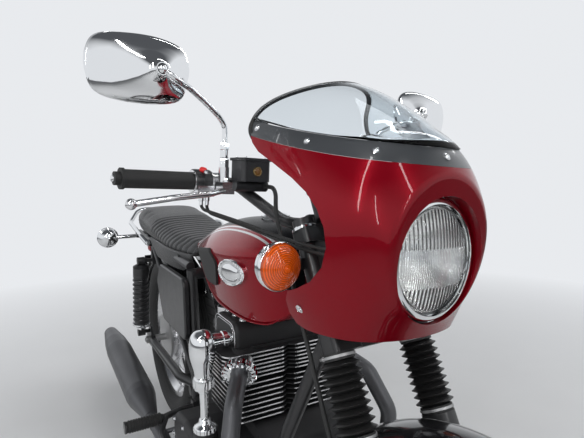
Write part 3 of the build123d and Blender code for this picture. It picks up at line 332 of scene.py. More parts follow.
def exhaust_grey():
    finish = Finish("exhaust_grey", (0.05, 0.052, 0.057), metallic=0.75, roughness=0.42)
    haze = finish.noise(5.0, 4.0, 0.6)
    finish.feed("Base Color", finish.blend(haze, (0.085, 0.087, 0.093), (0.17, 0.172, 0.18)))
    finish.feed("Roughness", 0.34 + finish.noise(40.0, 4.0) * 0.16)
    finish.bump(finish.noise(700.0, 2.0), 0.08, 0.0004)
    return finish


def rubber(name="black_rubber", grey=0.017, rough=0.62):
    finish = Finish(name, (grey, grey, grey), roughness=rough)
    dust = finish.noise(22.0, 5.0, 0.65)
    finish.feed("Base Color", finish.blend(dust, (grey * 0.75,) * 3, (grey * 1.9,) * 3))
    finish.feed("Roughness", rough - 0.06 + dust * 0.16)
    finish.bump(finish.noise(1300.0, 2.0), 0.16, 0.0004)
    return finish


def tyre_rubber(name, axle, outer, width, steered):
    """Tread cut as angled blocks beside three grooves, with moulded rings on the walls; the cuts are painted
    near black as shade in the recesses.
    """
    finish = rubber(name, 0.018, 0.66)
    outer, width = outer / 1000, width / 1000
    forward, across, up = local_axes(finish, axle, (1, 0, 0), (0, 0, 1), steered)
    radius = from_axis(forward, up)
    run = finish.add("ShaderNodeMath", {"operation": "ARCTAN2"}, [up, forward]) * outer
    side = abs(across)
    tread = radius.above(outer - width * 0.16, 0.002)
    groove = side.inside(0.0, 0.0022, 0.0006).larger(side.inside(width * 0.14, 0.0018, 0.0006))
    slant = (run + side * 0.55).wave(0.034).above(0.88, 0.03) * side.above(width * 0.17, 0.001)
    cut = groove.larger(slant) * tread
    rings = radius.wave(0.0065).above(0.9, 0.05) * (1 - tread) * 0.25
    worn = finish.blend(finish.noise(22.0, 5.0, 0.65), (0.013,) * 3, (0.036,) * 3)
    # Painted shade: the cuts get a near-black base colour, as if the recesses were shaded; the rubber is the
    # same colour there.
    finish.feed("Base Color", finish.blend(cut, worn, (0.005,) * 3))
    finish.bump(1 - cut + rings + finish.noise(900.0, 2.0) * 0.04, 1.0, 0.004)
    return finish


def seat_vinyl():
    finish = Finish("seat_vinyl", (0.03, 0.031, 0.033), roughness=0.42, Sheen_Weight=0.15,
                    Sheen_Roughness=0.5)
    pores = finish.cells(700.0, "DISTANCE_TO_EDGE")
    folds = finish.noise(260.0, 4.0, 0.6)
    worn = finish.noise(6.0, 3.0)
    finish.feed("Base Color", finish.blend(worn, (0.022, 0.023, 0.025), (0.045, 0.046, 0.048)))
    finish.feed("Roughness", 0.36 + folds * 0.2)
    finish.bump(pores * 3.0 + folds * 0.5, 0.35, 0.0005)
    return finish


def clear(name, colour, roughness, ior=1.49):
    return Finish(name, colour, roughness=roughness, IOR=ior, Transmission_Weight=1.0)


def fluted_glass():
    """The headlight's pressed glass: upright flutes in blocks."""
    finish = clear("fluted_glass", (0.97, 0.98, 0.98), 0.03, 1.5)
    _, across, up = local_axes(finish, LIGHT_MIDDLE, (1, 0, 0), (0, 0, 1), True)
    flute = across.wave(0.0040)
    fine = across.wave(0.0080, 0.8)
    block = up.inside(-0.012, 0.030, 0.001)
    level = up.wave(0.030).above(0.93, 0.05)
    rim = from_axis(across, up).above(0.078, 0.002)
    finish.bump((flute * block + fine * (1 - block) - level * 0.8) * (1 - rim), 0.55, 0.0016)
    return finish


def screen_acrylic():
    finish = clear("screen_acrylic", (0.82, 0.87, 0.90), 0.02, 1.25)
    scratch = finish.noise(70.0, 6.0, 0.8, stretch=(1.0, 6.0, 1.0))
    finish.feed("Roughness", scratch.above(0.66, 0.06) * 0.10)
    return finish


def ringed_lens(name, colour, centres, facing, steered=False, pitch=0.0034, painted_glow=0.10):
    """Coloured lens plastic with moulded rings about its middle. The darker half of each ring is painted
    shade, and a faint emission paints light glowing through the unlit lens.
    """
    # The emission strength is painted light: the lens glows although no lamp lights it.
    finish = Finish(name, colour, roughness=0.10, IOR=1.49, Transmission_Weight=0.2, Coat_Weight=0.6,
                    Coat_Roughness=0.02, Emission_Strength=painted_glow)
    finish.feed("Emission Color", (*colour, 1.0))
    radii = [from_axis(*local_axes(finish, centre, (facing, 0, 0), (0, 0, 1), steered)[1:])
             for centre in centres]
    radius = radii[0] if len(radii) == 1 else radii[0].smaller(radii[1])
    rings = radius.wave(pitch)
    # Painted shade: this mask darkens half of each moulded ring in the base colour.
    ridge = rings * radius.above(0.006, 0.002)
    finish.feed("Base Color", finish.blend(ridge, colour, tuple(c * 0.45 for c in colour)))
    finish.bump(rings * (1 - radius.above(0.034, 0.001)), 0.5, 0.0012)
    return finish


CHROME = bright("chrome_plate", (0.86, 0.87, 0.88), 0.035)
POLISHED = bright("polished_alloy", (0.80, 0.80, 0.81), 0.14, 0.02)
STEEL = bright("brushed_steel", (0.52, 0.52, 0.52), 0.30, 0.10)
SATIN_BLACK = lacquer("satin_black", (0.014, 0.014, 0.015), 0.34, 0.25)
GLOSS_BLACK = lacquer("gloss_black", (0.006, 0.006, 0.007), 0.16, 1.0, 0.01)
RUBBER = rubber()
PLASTIC = lacquer("black_plastic", (0.020, 0.020, 0.022), 0.45, 0.0, 0.12)
BAND_GREY = lacquer("band_grey", (0.036, 0.039, 0.043), 0.30, 0.5, 0.02)
ENGINE = engine_black()
EXHAUST = exhaust_grey()
RED = candy_red()
TANK = tank_red()
VINYL = seat_vinyl()
FRONT_TREAD = tyre_rubber("front_tread", FRONT_AXLE, FRONT_TYRE_RADIUS, FRONT_TYRE_WIDTH, True)
REAR_TREAD = tyre_rubber("rear_tread", REAR_AXLE, REAR_TYRE_RADIUS, REAR_TYRE_WIDTH, False)
GLASS = fluted_glass()
ACRYLIC = screen_acrylic()
REFLECTOR = bright("reflector_silver", (0.95, 0.95, 0.94), 0.12)
MIRROR = bright("mirror_silver", (0.93, 0.94, 0.94), 0.0)
BULB_GLASS = clear("bulb_glass", (0.95, 0.97, 1.0), 0.02)
AMBER_GLASS = lacquer("amber_fluid", (0.20, 0.09, 0.02), 0.15, 0.8)
BRASS = bright("brass", (0.72, 0.50, 0.22), 0.16)
SWITCH_RED = lacquer("switch_red", (0.55, 0.008, 0.008), 0.32, 0.3)
DIAL_WHITE = lacquer("dial_white", (0.75, 0.75, 0.72), 0.5)
GAITER = rubber("gaiter_rubber", 0.011, 0.40)
# The signal and tail lenses carry a painted glow and painted shade on their rings.
FRONT_AMBER = ringed_lens("front_amber", (1.0, 0.14, 0.006), both_sides(FRONT_SIGNAL), 1, True)
REAR_AMBER = ringed_lens("rear_amber", (1.0, 0.14, 0.006), both_sides(REAR_SIGNAL), -1)
TAIL_RED = ringed_lens("tail_red", (0.62, 0.004, 0.006), [TAIL_LAMP], -1, pitch=0.006, painted_glow=0.05)

NODE_FINISH = {
    SATIN_BLACK: "fork_yokes fork_sliders brake_caliper handlebar main_frame side_covers swingarm "
                 "rear_shocks foot_controls centre_stand side_stand",
    GLOSS_BLACK: "front_fender headlight_shell rear_fender chain_guard",
    CHROME: "headlight_rim mirrors front_signal_shells bevel_tower exhaust_collars tank_trim grab_rail "
            "rear_signal_shells",
    POLISHED: "bar_controls front_wheel rear_wheel carburettors",
    STEEL: "brake_disc sprocket drive_chain rear_axle",
    RUBBER: "grips knee_pads control_cables",
    PLASTIC: "brake_reservoir instruments",
    ENGINE: "crankcase cylinders cylinder_head cam_cover",
    GAITER: "fork_gaiters", GLASS: "headlight_lens", RED: "fairing", BAND_GREY: "screen_band",
    ACRYLIC: "windscreen", FRONT_AMBER: "front_signal_lenses", FRONT_TREAD: "front_tyre",
    REAR_TREAD: "rear_tyre", EXHAUST: "exhausts", TANK: "fuel_tank", VINYL: "seat", TAIL_RED: "tail_lamp",
    REAR_AMBER: "rear_signal_lenses",
}

for finish, names in NODE_FINISH.items():
    for name in names.split():
        nodes[name].data.materials.clear()
        nodes[name].data.materials.append(finish.material)


# Meshes

SAME_PLACE, TINY_EDGE = 0.00002, 0.00001
SHARP_EDGE, BEVELLED_EDGE = math.radians(38), math.radians(40)


class Form:
    """Points and faces gathered in millimetres from the rear axle's foot, then made into one piece."""

    def __init__(self):
        self.points = []
        self.faces = []

    def grid(self, rows, wrap=False, flip=False):
        """Quads between rows of points; wrap joins each row's end to its start."""
        start, width = len(self.points), len(rows[0])
        for row in rows:
            self.points += [Vector(point) for point in row]
        for r in range(len(rows) - 1):
            for c in range(width if wrap else width - 1):
                d = (c + 1) % width
                low, high = start + r * width, start + (r + 1) * width
                face = (low + c, low + d, high + d, high + c)
                self.faces.append(face[::-1] if flip else face)
        return self

    def cap(self, ring, flip=False):
        """One face over a ring of points."""
        start = len(self.points)
        self.points += [Vector(point) for point in ring]
        face = tuple(range(start, start + len(ring)))
        self.faces.append(face[::-1] if flip else face)
        return self

    def lathe(self, profile, centre, axis, steps):
        """Turns (radius, height) pairs about an axis; it closes where the radius is 0."""
        up = Vector(axis).normalized()
        side = up.orthogonal().normalized()
        across = up.cross(side)
        rows = []
        for radius, height in profile:
            reach = max(radius, 0.01)
            ring = [side * (math.cos(2 * math.pi * n / steps) * reach)
                    + across * (math.sin(2 * math.pi * n / steps) * reach) for n in range(steps)]
            rows.append([Vector(centre) + up * height + spoke for spoke in ring])
        return self.grid(rows, wrap=True)

    def tube(self, path, radius, sides, ends=True):
        """A round cord along points; radius may be a list, one for each point."""
        path = [Vector(point) for point in path]
        radii = radius if isinstance(radius, list) else [radius] * len(path)
        rows = []
        normal = (path[1] - path[0]).orthogonal().normalized()
        for n, point in enumerate(path):
            way = (path[min(n + 1, len(path) - 1)] - path[max(n - 1, 0)]).normalized()
            normal = (normal - way * normal.dot(way)).normalized()
            across = way.cross(normal)
            rows.append([point + spoke * radii[n] for spoke in spokes(sides, normal, across)])
        self.grid(rows, wrap=True)
        if ends:
            self.cap(rows[0], flip=True)
            self.cap(rows[-1])
        return self

    def screw(self, centre, axis, radius, rise=2.2):
        """A domed head with a sunk middle, on a flat washer."""
        washer = [(0, 0), (radius * 1.45, 0), (radius * 1.45, 0.8), (radius * 1.05, 1.0)]
        head = [(radius, 1.0), (radius * 0.96, 1.0 + rise * 0.45), (radius * 0.7, 1.0 + rise * 0.85),
                (radius * 0.4, 1.0 + rise), (radius * 0.3, 1.0 + rise * 0.5), (0, 1.0 + rise * 0.5)]
        return self.lathe(washer + head, centre, axis, 20)

    def hex_bolt(self, centre, axis, radius, height):
        """A six-sided head with a bevelled top, on a washer."""
        washer = [(0, 0), (radius * 1.35, 0), (radius * 1.35, 1.2), (0, 1.2)]
        head = [(radius, 1.2), (radius, height - 1), (radius * 0.86, height), (0, height)]
        return self.lathe(washer, centre, axis, 24).lathe(head, centre, axis, 6)

    def mirrored(self):
        """Adds the same forms on the machine's other side."""
        start = len(self.points)
        self.points += [Vector((p.x, -p.y, p.z)) for p in self.points]
        self.faces += [tuple(start + i for i in face[::-1]) for face in list(self.faces)]
        return self

    def piece(self, name, finish, body, slot, steered=False, bevel=0.0):
        """The forms as one piece that rides on a body; steered turns points set out on the straight fork."""
        places = [to_frame(steer(point) if steered else point) for point in self.points]
        mesh = bpy.data.meshes.new(name)
        mesh.from_pydata(places, [], self.faces)
        shape = bmesh.new()
        shape.from_mesh(mesh)
        bmesh.ops.remove_doubles(shape, verts=shape.verts, dist=SAME_PLACE)
        bmesh.ops.dissolve_degenerate(shape, edges=shape.edges, dist=TINY_EDGE)
        shape.to_mesh(mesh)
        shape.free()
        mesh.materials.append(finish.material)
        obj = bpy.data.objects.new(name, mesh)
        bpy.context.scene.collection.objects.link(obj)
        mesh.shade_smooth()
        mesh.set_sharp_from_angle(angle=SHARP_EDGE)
        if bevel:
            edge = obj.modifiers.new("soft_edges", "BEVEL")
            edge.width, edge.segments, edge.limit_method = bevel / 1000, 2, "ANGLE"
            edge.angle_limit = BEVELLED_EDGE
            edge.harden_normals = True
        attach(obj, body)
        return obj


def smooth_path(points, steps, closed=False):
    """Points along a smooth curve through the given ones."""
    points = [Vector(point) for point in points]
    count = len(points)
    path = []
    for n in range(count if closed else count - 1):
        if closed:
            a, b, c, d = (points[(n + k) % count] for k in (-1, 0, 1, 2))
        else:
            a, b, c, d = (points[min(max(n + k, 0), count - 1)] for k in (-1, 0, 1, 2))
        for step in range(steps):
            t = step / steps
            path.append(0.5 * (2 * b + (c - a) * t + (2 * a - 5 * b + 4 * c - d) * t ** 2
                               + (3 * b - a - 3 * c + d) * t ** 3))
    return path if closed else path + [points[-1]]


def steps_of(count):
    """Shares from 0 to 1 in equal steps."""
    return [n / count for n in range(count + 1)]


def thicken(obj, wall, offset=-1):
    """Gives a skin a wall in millimetres, inward unless offset says otherwise."""
    solid = obj.modifiers.new("wall", "SOLIDIFY")
    solid.thickness, solid.offset = wall / 1000, offset


# Fairing, band and screen share one form: x, half width, widest z, highest z
FAIRING_RINGS = [(1060, 190, 942, 1206), (1240, 176, 925, 1144), (1320, 160, 930, 1094),
                 (1376, 127, 914, 1048), (1400, 103, 896, 1004)]
# The screen's rear edge in side view, and the foot of the band below it: x, z
SCREEN_REAR = [(1079, 1070), (1071, 1079), (1065, 1090), (1063.5, 1101), (1065, 1112), (1069, 1122),
               (1077, 1132), (1092, 1142.5), (1107, 1149.5), (1121, 1155.5), (1136, 1161.5), (1150, 1167),
               (1164, 1172.5)]
BAND_FOOT = [(1085, 1070), (1240, 1040), (1412, 1020)]
BAND_HIGH = 27.0
BAND_REAR = 1065.5
SKIN = 3.5


def between(table, x, column):
    """A smooth reading of one column of a table of rows that rise in their first."""
    xs = [row[0] for row in table]
    n = max(0, min(len(xs) - 2, sum(1 for edge in xs[1:] if x > edge)))

    def slope(k):
        if 0 < k < len(xs) - 1:
            low = (table[k][column] - table[k - 1][column]) / (xs[k] - xs[k - 1])
            high = (table[k + 1][column] - table[k][column]) / (xs[k + 1] - xs[k])
            share = (xs[k] - xs[k - 1]) / (xs[k + 1] - xs[k - 1])
            return low * (1 - share) + high * share
        k = 1 if k == 0 else len(xs) - 1
        return (table[k][column] - table[k - 1][column]) / (xs[k] - xs[k - 1])
    span = xs[n + 1] - xs[n]
    t = (x - xs[n]) / span
    if t < 0:
        return table[0][column] + slope(0) * (x - xs[0])
    a, b = table[n][column], table[n + 1][column]
    return ((2 * t ** 3 - 3 * t ** 2 + 1) * a + (t ** 3 - 2 * t ** 2 + t) * span * slope(n)
            + (3 * t ** 2 - 2 * t ** 3) * b + (t ** 3 - t ** 2) * span * slope(n + 1))


def shell_point(x, turn):
    """Where the fairing's outer form is at x, turn being 0 on the left, a quarter turn on top."""
    half, middle, high = (between(FAIRING_RINGS, x, column) for column in (1, 2, 3))
    return Vector((x, half * math.cos(turn), middle + (high - middle) * math.sin(turn)))


def shell_side(x, z, side):
    """The form's point at x and height z on one side."""
    half, middle, high = (between(FAIRING_RINGS, x, column) for column in (1, 2, 3))
    rise = min(max((z - middle) / (high - middle), -1.0), 1.0)
    return Vector((x, side * half * math.sqrt(1 - rise ** 2), z))


def shell_normal(x, z, side):
    point = shell_side(x, z, side)
    along = shell_side(x + 1, z, side) - point
    up = shell_side(x, z + 1, side) - point
    normal = along.cross(up).normalized()
    return normal if normal.y * side > 0 else -normal


def circle_through(points):
    (x1, z1), (x2, z2), (x3, z3) = points
    d = 2 * (x1 * (z2 - z3) + x2 * (z3 - z1) + x3 * (z1 - z2))
    s1, s2, s3 = x1 ** 2 + z1 ** 2, x2 ** 2 + z2 ** 2, x3 ** 2 + z3 ** 2
    cx = (s1 * (z2 - z3) + s2 * (z3 - z1) + s3 * (z1 - z2)) / d
    cz = (s1 * (x3 - x2) + s2 * (x1 - x3) + s3 * (x2 - x1)) / d
    return cx, cz, math.hypot(x1 - cx, z1 - cz)


BAND_CENTRE = circle_through(BAND_FOOT)


def band_line(x, rise=0.0):
    """The band's foot line at x, or a copy raised by rise."""
    cx, cz, radius = BAND_CENTRE
    return cz - math.copysign(math.sqrt(radius ** 2 - (x - cx) ** 2), cz - BAND_FOOT[1][1]) + rise


def rear_line(z):
    """How far forward the screen's rear edge is at height z."""
    for (x1, z1), (x2, z2) in zip(SCREEN_REAR, SCREEN_REAR[1:]):
        if z <= z2:
            return x1 + (x2 - x1) * (z - z1) / (z2 - z1)
    (x1, z1), (x2, z2) = SCREEN_REAR[-2:]
    return x1 + (x2 - x1) * (z - z1) / (z2 - z1)


def meeting(turn, line, start, end):
    """Where a lengthwise curve of the form first crosses a line, going forward."""
    low, step = start, 1.0
    while low < end and line(shell_point(low, turn)) < 0:
        low += step
    high, low = low, low - step
    for _ in range(20):
        middle = (low + high) / 2
        if line(shell_point(middle, turn)) < 0:
            low = middle
        else:
            high = middle
    return high


def screen():
    """The clear bubble, its rear edge bowed, and the black bead along it."""
    across, along, gap = 72, 22, 0.3
    half, middle, high = (between(FAIRING_RINGS, BAND_REAR, column) for column in (1, 2, 3))
    first = math.asin((band_line(BAND_REAR, BAND_HIGH + gap) - middle) / (high - middle)) + 0.004
    rows = []
    for n in range(across + 1):
        share = n / across
        turn = first + (math.pi - 2 * first) * (share - 0.03 * math.sin(2 * math.pi * share))
        rear = meeting(turn, lambda p: p.x - rear_line(p.z), 1040, 1260)
        front = meeting(turn, lambda p: band_line(p.x, BAND_HIGH + gap) - p.z, rear, 1399)
        rows.append([shell_point(rear + (front - rear) * k / along, turn) for k in range(along + 1)])
    pane = Form().grid(rows).piece("screen_bubble", ACRYLIC, "steering", "clear_screen", steered=True)
    thicken(pane, SKIN)
    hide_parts("windscreen")
    edge = [row[0] for row in rows]
    rim = [p + Vector((0, -math.copysign(1.4, p.y) if abs(p.y) > 30 else 0, -1.0)) for p in edge]
    corner = [(1086, band_line(1086, -3)), (1079.5, 1071.5), (1073, 1077.5), (1068.5, 1084), (1066, 1090)]
    left, right = ([shell_side(x, z, side) - Vector((0, side * 1.6, 0)) for x, z in corner]
                   for side in (1, -1))
    path = smooth_path((left + rim + right[::-1])[::2], 3)
    Form().tube(path, 5.0, 12).piece("screen_bead", RUBBER, "steering", "rubber", steered=True)


def band_ends():
    """The band's tips, from the fairing's rear corner back to the bead."""
    form = Form()
    for side in SIDES:
        rows = []
        for share in steps_of(8):
            z_rear = 1071.5 + (band_line(BAND_REAR, BAND_HIGH) - 1071.5) * share
            x_front = 1085 + 9 * min(share / 0.55, 1) + max(share - 0.55, 0) / 0.45 * 14
            z_front = 1070 + 16 * min(share / 0.55, 1) + max(share - 0.55, 0) / 0.45 * 9
            row = []
            for t in steps_of(8):
                x = rear_line(z_rear) + (x_front - rear_line(z_rear)) * t
                z = z_rear + (z_front - z_rear) * t
                row.append(shell_side(x, z, side) - shell_normal(x, z, side) * 0.05)
            rows.append(row)
        form.grid(rows, flip=side > 0)
    tips = form.piece("band_tips", BAND_GREY, "steering", "dark_plastic", steered=True)
    thicken(tips, SKIN)


def skin_place(node, point, normal):
    """Where a steered node's skin is, met from outside along a form's normal, with that normal."""
    way = STEERED @ normal
    hit, found, _, _ = nodes[node].ray_cast(to_frame(steer(point + normal * 40)), -way)
    return (from_frame(found) if hit else steer(point)), way


def fairing_screws():
    """Chrome screws along the band, and one low on each side of the fairing."""
    form = Form()
    for x in (1097, 1224, 1337):
        for side in SIDES:
            z = band_line(x, BAND_HIGH * 0.5)
            form.screw(*skin_place("screen_band", shell_side(x, z, side), shell_normal(x, z, side)), 4.7, 2.6)
    nose = Vector((1381, 0, band_line(1381, BAND_HIGH * 0.5)))
    form.screw(*skin_place("screen_band", nose, Vector((0.8, 0, 0.6))), 4.7, 2.6)
    for side in SIDES:
        low = Vector((1238, side * 158, 787))
        form.screw(*skin_place("fairing", low, Vector((0.05, side * 0.9, -0.42)).normalized()), 5.2, 2.6)
    form.piece("fairing_screws", CHROME, "steering", "chrome")


def headlight_inside():
    """The reflector bowl, the bulb with its cap, and the black ring around the rim."""
    def turned(profile, steps):
        return Form().lathe(profile, LIGHT_MIDDLE, (1, 0, 0), steps)
    mouth, neck = 82, 16
    bowl = [(radius, -14 - 62 * (1 - (radius / mouth) ** 2))
            for radius in (mouth - (mouth - neck) * share for share in steps_of(24))]
    turned(bowl + [(15, -80)], 64).piece("headlight_reflector", REFLECTOR, "steering", "chrome", steered=True)
    bulb = [(0, -80), (8, -80), (8, -58), (9, -52), (8.5, -44), (6, -38), (0, -35.5)]
    turned(bulb, 24).piece("headlight_bulb", BULB_GLASS, "steering", "clear_glass", steered=True)
    cap = [(0, -24), (11, -24), (13, -30), (13, -40), (12.4, -40), (12.2, -31), (10.5, -26), (0, -26)]
    form = turned(cap, 32)
    for turn in (0.6, 2.7, 4.8):
        tip = Vector((0, math.cos(turn), math.sin(turn)))
        stay = [LIGHT_MIDDLE + Vector((depth, 0, 0)) + tip * reach
                for depth, reach in ((-38, 12.6), (-62, 17), (-73, 20))]
        form.tube(stay, 0.9, 6)
    form.piece("bulb_cap", CHROME, "steering", "chrome", steered=True)
    gasket = [(97.4, -18), (97.4, -10), (99.6, -8.5), (101.2, -11), (101.2, -18)]
    turned(gasket, 96).piece("headlight_gasket", RUBBER, "steering", "rubber", steered=True)
    screw = Form().screw(LIGHT_MIDDLE + Vector((-4, 0, -94.5)), (0.7, 0, -0.7), 3.0)
    screw.piece("rim_screw", CHROME, "steering", "chrome", steered=True)


MIRROR_OUTLINE = [(-84, -12), (-72, -42), (-30, -53), (30, -54), (70, -44), (84, -14), (84, 16), (68, 42),
                  (20, 53), (-34, 55), (-74, 44), (-87, 16)]
# Share of the outline, depth ahead of the glass, share of a round boss
MIRROR_ROWS = [(0.955, -5.5, 0), (0.985, -6, 0), (1.0, -4, 0), (1.0, 1, 0), (0.985, 4.5, 0), (0.90, 8.5, 0.0),
               (0.76, 12.5, 0.05), (0.60, 16, 0.14), (0.44, 19.5, 0.3), (0.32, 23, 0.55), (0.25, 27.5, 0.85),
               (0.22, 32, 1.0), (0.21, 35, 1.0)]


def mirror_heads():
    """Thin chrome mirror shells drawn out to a ball joint, glasses behind, and bent stems."""
    ring = smooth_path([Vector((0, y, z)) for y, z in MIRROR_OUTLINE], 8, closed=True)
    boss = Vector((0, -27, -1))
    centre = Vector((1036, -355, 1165))
    ball = centre + Vector((33, 27, -1))
    chrome, glass = Form(), Form()

    def at(point, depth):
        return centre + Vector((depth, -point.y, point.z))

    grid = []
    for share, depth, boss_share in MIRROR_ROWS:
        row = []
        for point in ring:
            flat = point * share + boss * (1 - share) * min(1.0, max(depth, 0) / 20)
            away = point.normalized() * (11.5 if depth < 30 else 10.5) + boss
            row.append(at(flat.lerp(away, boss_share), depth))
        grid.append(row)
    chrome.grid(grid, wrap=True)
    hollow = [[at(point.normalized() * 10.5 * share + boss, depth) for point in ring]
              for share, depth in ((1.0, 35.0), (0.85, 35), (0.80, 31), (0.35, 29))]
    chrome.grid(hollow, wrap=True).cap(hollow[-1])
    globe = [(8.2 * math.sin(math.pi * share), -8.2 * math.cos(math.pi * share)) for share in steps_of(12)]
    chrome.lathe(globe, ball, (0.4, 0.8, -0.45), 20)
    foot = Vector((1024, -187, 1024))
    bends = [(0, 0, 0), (0, 0, 34), (0, 0, 54), (1.5, -5, 70), (10, -28, 88), (26, -80, 117)]
    stem = [foot + Vector(bend) for bend in bends] + [ball + Vector((1, 22, -12)), ball + Vector((0, 3, -1))]
    path = smooth_path(stem, 8)
    chrome.tube(path, [5.4] * (len(path) - 12) + [5.4 - 0.09 * k for k in range(12)], 16)
    nuts = [(0, -14), (9.2, -14), (9.2, -13), (9.2, 3), (8.2, 5), (7.4, 6), (7.4, 20), (8.6, 21), (8.6, 33),
            (7.6, 35), (0, 35)]
    chrome.lathe(nuts, foot, (0, 0, 1), 6)
    chrome.lathe([(7.9, 6), (7.9, 20)], foot, (0, 0, 1), 24)
    rim = [at(point * 0.985, -1.5) for point in ring]
    chrome.tube(rim + rim[:2], 1.9, 8, ends=False)
    face = [[at(point * share, depth) for point in ring]
            for share, depth in ((0.955, -4.6), (0.5, -5.6), (0.02, -5.9))]
    glass.grid(face, wrap=True, flip=True).mirrored()
    heads = chrome.mirrored().piece("mirror_shells", CHROME, "steering", "chrome", steered=True)
    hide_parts("mirrors")
    glass.piece("mirror_glasses", MIRROR, "steering", "chrome", steered=True)


# Seat: x, half width at the foot, half width at the shoulder, shoulder z, top z
SEAT_RINGS = [(-196, 92, 98, 826, 848), (-150, 112, 122, 832, 858), (20, 128, 138, 822, 850),
              (200, 128, 138, 800, 826), (420, 118, 128, 780, 806), (526, 90, 98, 782, 800)]
SEAT_STATIONS = [-192, -180, -165, -140, *range(-100, 461, 40), 495, 515, 524]
FIRST_RIB, LAST_RIB, RIBS = 118.0, 512.0, 13
PIPING_BELOW_SHOULDER = 21


def seat_base(x):
    """The height of the seat's flat base, which rises a little to the rear."""
    return 752 - (x - 548) * 0.0287


def seat_ring(x, shrink):
    """One section of the seat as points from the left foot over the top to the right foot."""
    foot, half, shoulder, top = (between(SEAT_RINGS, x, column) for column in (1, 2, 3, 4))
    low = seat_base(x)
    half, foot, shoulder, top = half - shrink, foot - shrink, shoulder - shrink * 0.8, top - shrink
    left = []
    for share in steps_of(6):
        bulge = math.sin(math.pi * share) * 3.5
        left.append((foot + (half - foot) * share + bulge, low + 1 + (shoulder - 11 - low) * share))
    for share in steps_of(13)[1:]:
        turn = math.pi / 2 * share
        left.append((half * max(math.cos(turn), 0) ** 0.62,
                     shoulder - 11 + (top - shoulder + 11) * math.sin(turn) ** 0.9))
    return [Vector((x, y, z)) for y, z in left] + [Vector((x, -y, z)) for y, z in left[-2::-1]]


def seat_pad():
    """The long seat: swollen as cloth over its foam, then drawn in along its sewn channels."""
    shrink = 5
    rows = [seat_ring(x, shrink) for x in SEAT_STATIONS]
    for end, way in ((0, 1), (-1, -1)):
        middle = sum(rows[end], Vector()) / len(rows[end])
        rows[end] = [middle + (p - middle) * 0.93 + Vector((way * -2, 0, 0)) for p in rows[end]]
    form = Form().grid(rows, flip=True)
    form.grid([[row[0] for row in rows], [row[-1] for row in rows]], flip=True)
    form.cap(rows[0]).cap(rows[-1], flip=True)
    pad = form.piece("seat_pad", VINYL, "chassis", "seat_cover")
    shape = bmesh.new()
    shape.from_mesh(pad.data)
    bmesh.ops.triangulate(shape, faces=[f for f in shape.faces if len(f.verts) > 4])
    bmesh.ops.recalc_face_normals(shape, faces=shape.faces)
    shape.to_mesh(pad.data)
    shape.free()
    remesh = pad.modifiers.new("remesh", "REMESH")
    remesh.mode, remesh.voxel_size = "VOXEL", 0.006
    apply_modifiers(pad)
    swell(pad, 0.007)
    refine = pad.modifiers.new("refine", "SUBSURF")
    refine.levels = refine.render_levels = 1
    apply_modifiers(pad)
    pitch = (LAST_RIB - FIRST_RIB) / RIBS
    places = []
    for place, normal in [(v.co.copy(), v.normal.copy()) for v in pad.data.vertices]:
        x = place.x * 1000 + AXLE_TO_MIDDLE
        half, shoulder = between(SEAT_RINGS, x, 2), between(SEAT_RINGS, x, 3)
        share = min(max((place.z * 1000 - (shoulder - 20)) / 7, 0), 1)
        inward = 0.0
        if share and FIRST_RIB - 4 < x < LAST_RIB + 4:
            slant = max(0.0, abs(place.y) * 1000 - half * 0.72) * 0.35
            phase = (x + slant - FIRST_RIB) / pitch
            groove = abs(phase - round(phase)) * pitch
            inward = (5.2 * math.exp(-(groove / 4.6) ** 2) - 1.1) * share
        if abs(normal.z) < 0.85:
            seam = place.z * 1000 - (shoulder - PIPING_BELOW_SHOULDER)
            inward += 2.6 * math.exp(-(seam / 3.4) ** 2)
        place -= normal * inward / 1000
        place.z = max(place.z, seat_base(x) / 1000)
        places.extend(place)
    pad.data.vertices.foreach_set("co", places)
    pad.data.update()
    pad.data.shade_smooth()
    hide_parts("seat")
    piping(pad)


def piping(pad):
    """The welt sewn around the seat below its shoulders, laid on the finished pad."""
    bpy.context.view_layer.update()
    form = Form()
    front, rear = 518, -184
    for side in SIDES:
        path = []
        for n in range(61):
            x = rear + (front - rear) * n / 60
            z = between(SEAT_RINGS, x, 3) - PIPING_BELOW_SHOULDER
            start = Vector(((x - AXLE_TO_MIDDLE) / 1000, side * 0.25, z / 1000))
            hit, place, normal, _ = pad.ray_cast(start, Vector((0, -side, 0)))
            if hit:
                path.append((place + normal * 0.0006) * 1000 + Vector((AXLE_TO_MIDDLE, 0, 0)))
        form.tube(path, 2.3, 8)
    form.piece("seat_piping", VINYL, "chassis", "seat_cover")


def apply_modifiers(obj):
    graph = bpy.context.evaluated_depsgraph_get()
    mesh = bpy.data.meshes.new_from_object(obj.evaluated_get(graph))
    obj.modifiers.clear()
    obj.data = mesh


def swell(obj, most):
    """Blows the pad up as cloth for twenty frames, no point moving further than most."""
    rest = [v.co.copy() for v in obj.data.vertices]
    cloth = obj.modifiers.new("cloth", "CLOTH")
    cloth.settings.use_pressure = True
    cloth.settings.uniform_pressure_force = 4
    cloth.settings.effector_weights.gravity = 0
    for frame_number in range(1, 21):
        bpy.context.scene.frame_set(frame_number)
    apply_modifiers(obj)
    places = []
    for vertex, start in zip(obj.data.vertices, rest):
        moved = vertex.co - start
        places.extend(start + moved * min(1.0, most / max(moved.length, 1e-6)))
    obj.data.vertices.foreach_set("co", places)
    obj.data.update()
    bpy.context.scene.frame_set(1)


def fork_spot(height, ahead, y):
    """A place in the fork's own terms: up the steering axis, ahead of it, to a side."""
    return STEERING_FOOT + STEERING_UP * height + STEERING_AHEAD * ahead + Vector((0, y, 0))


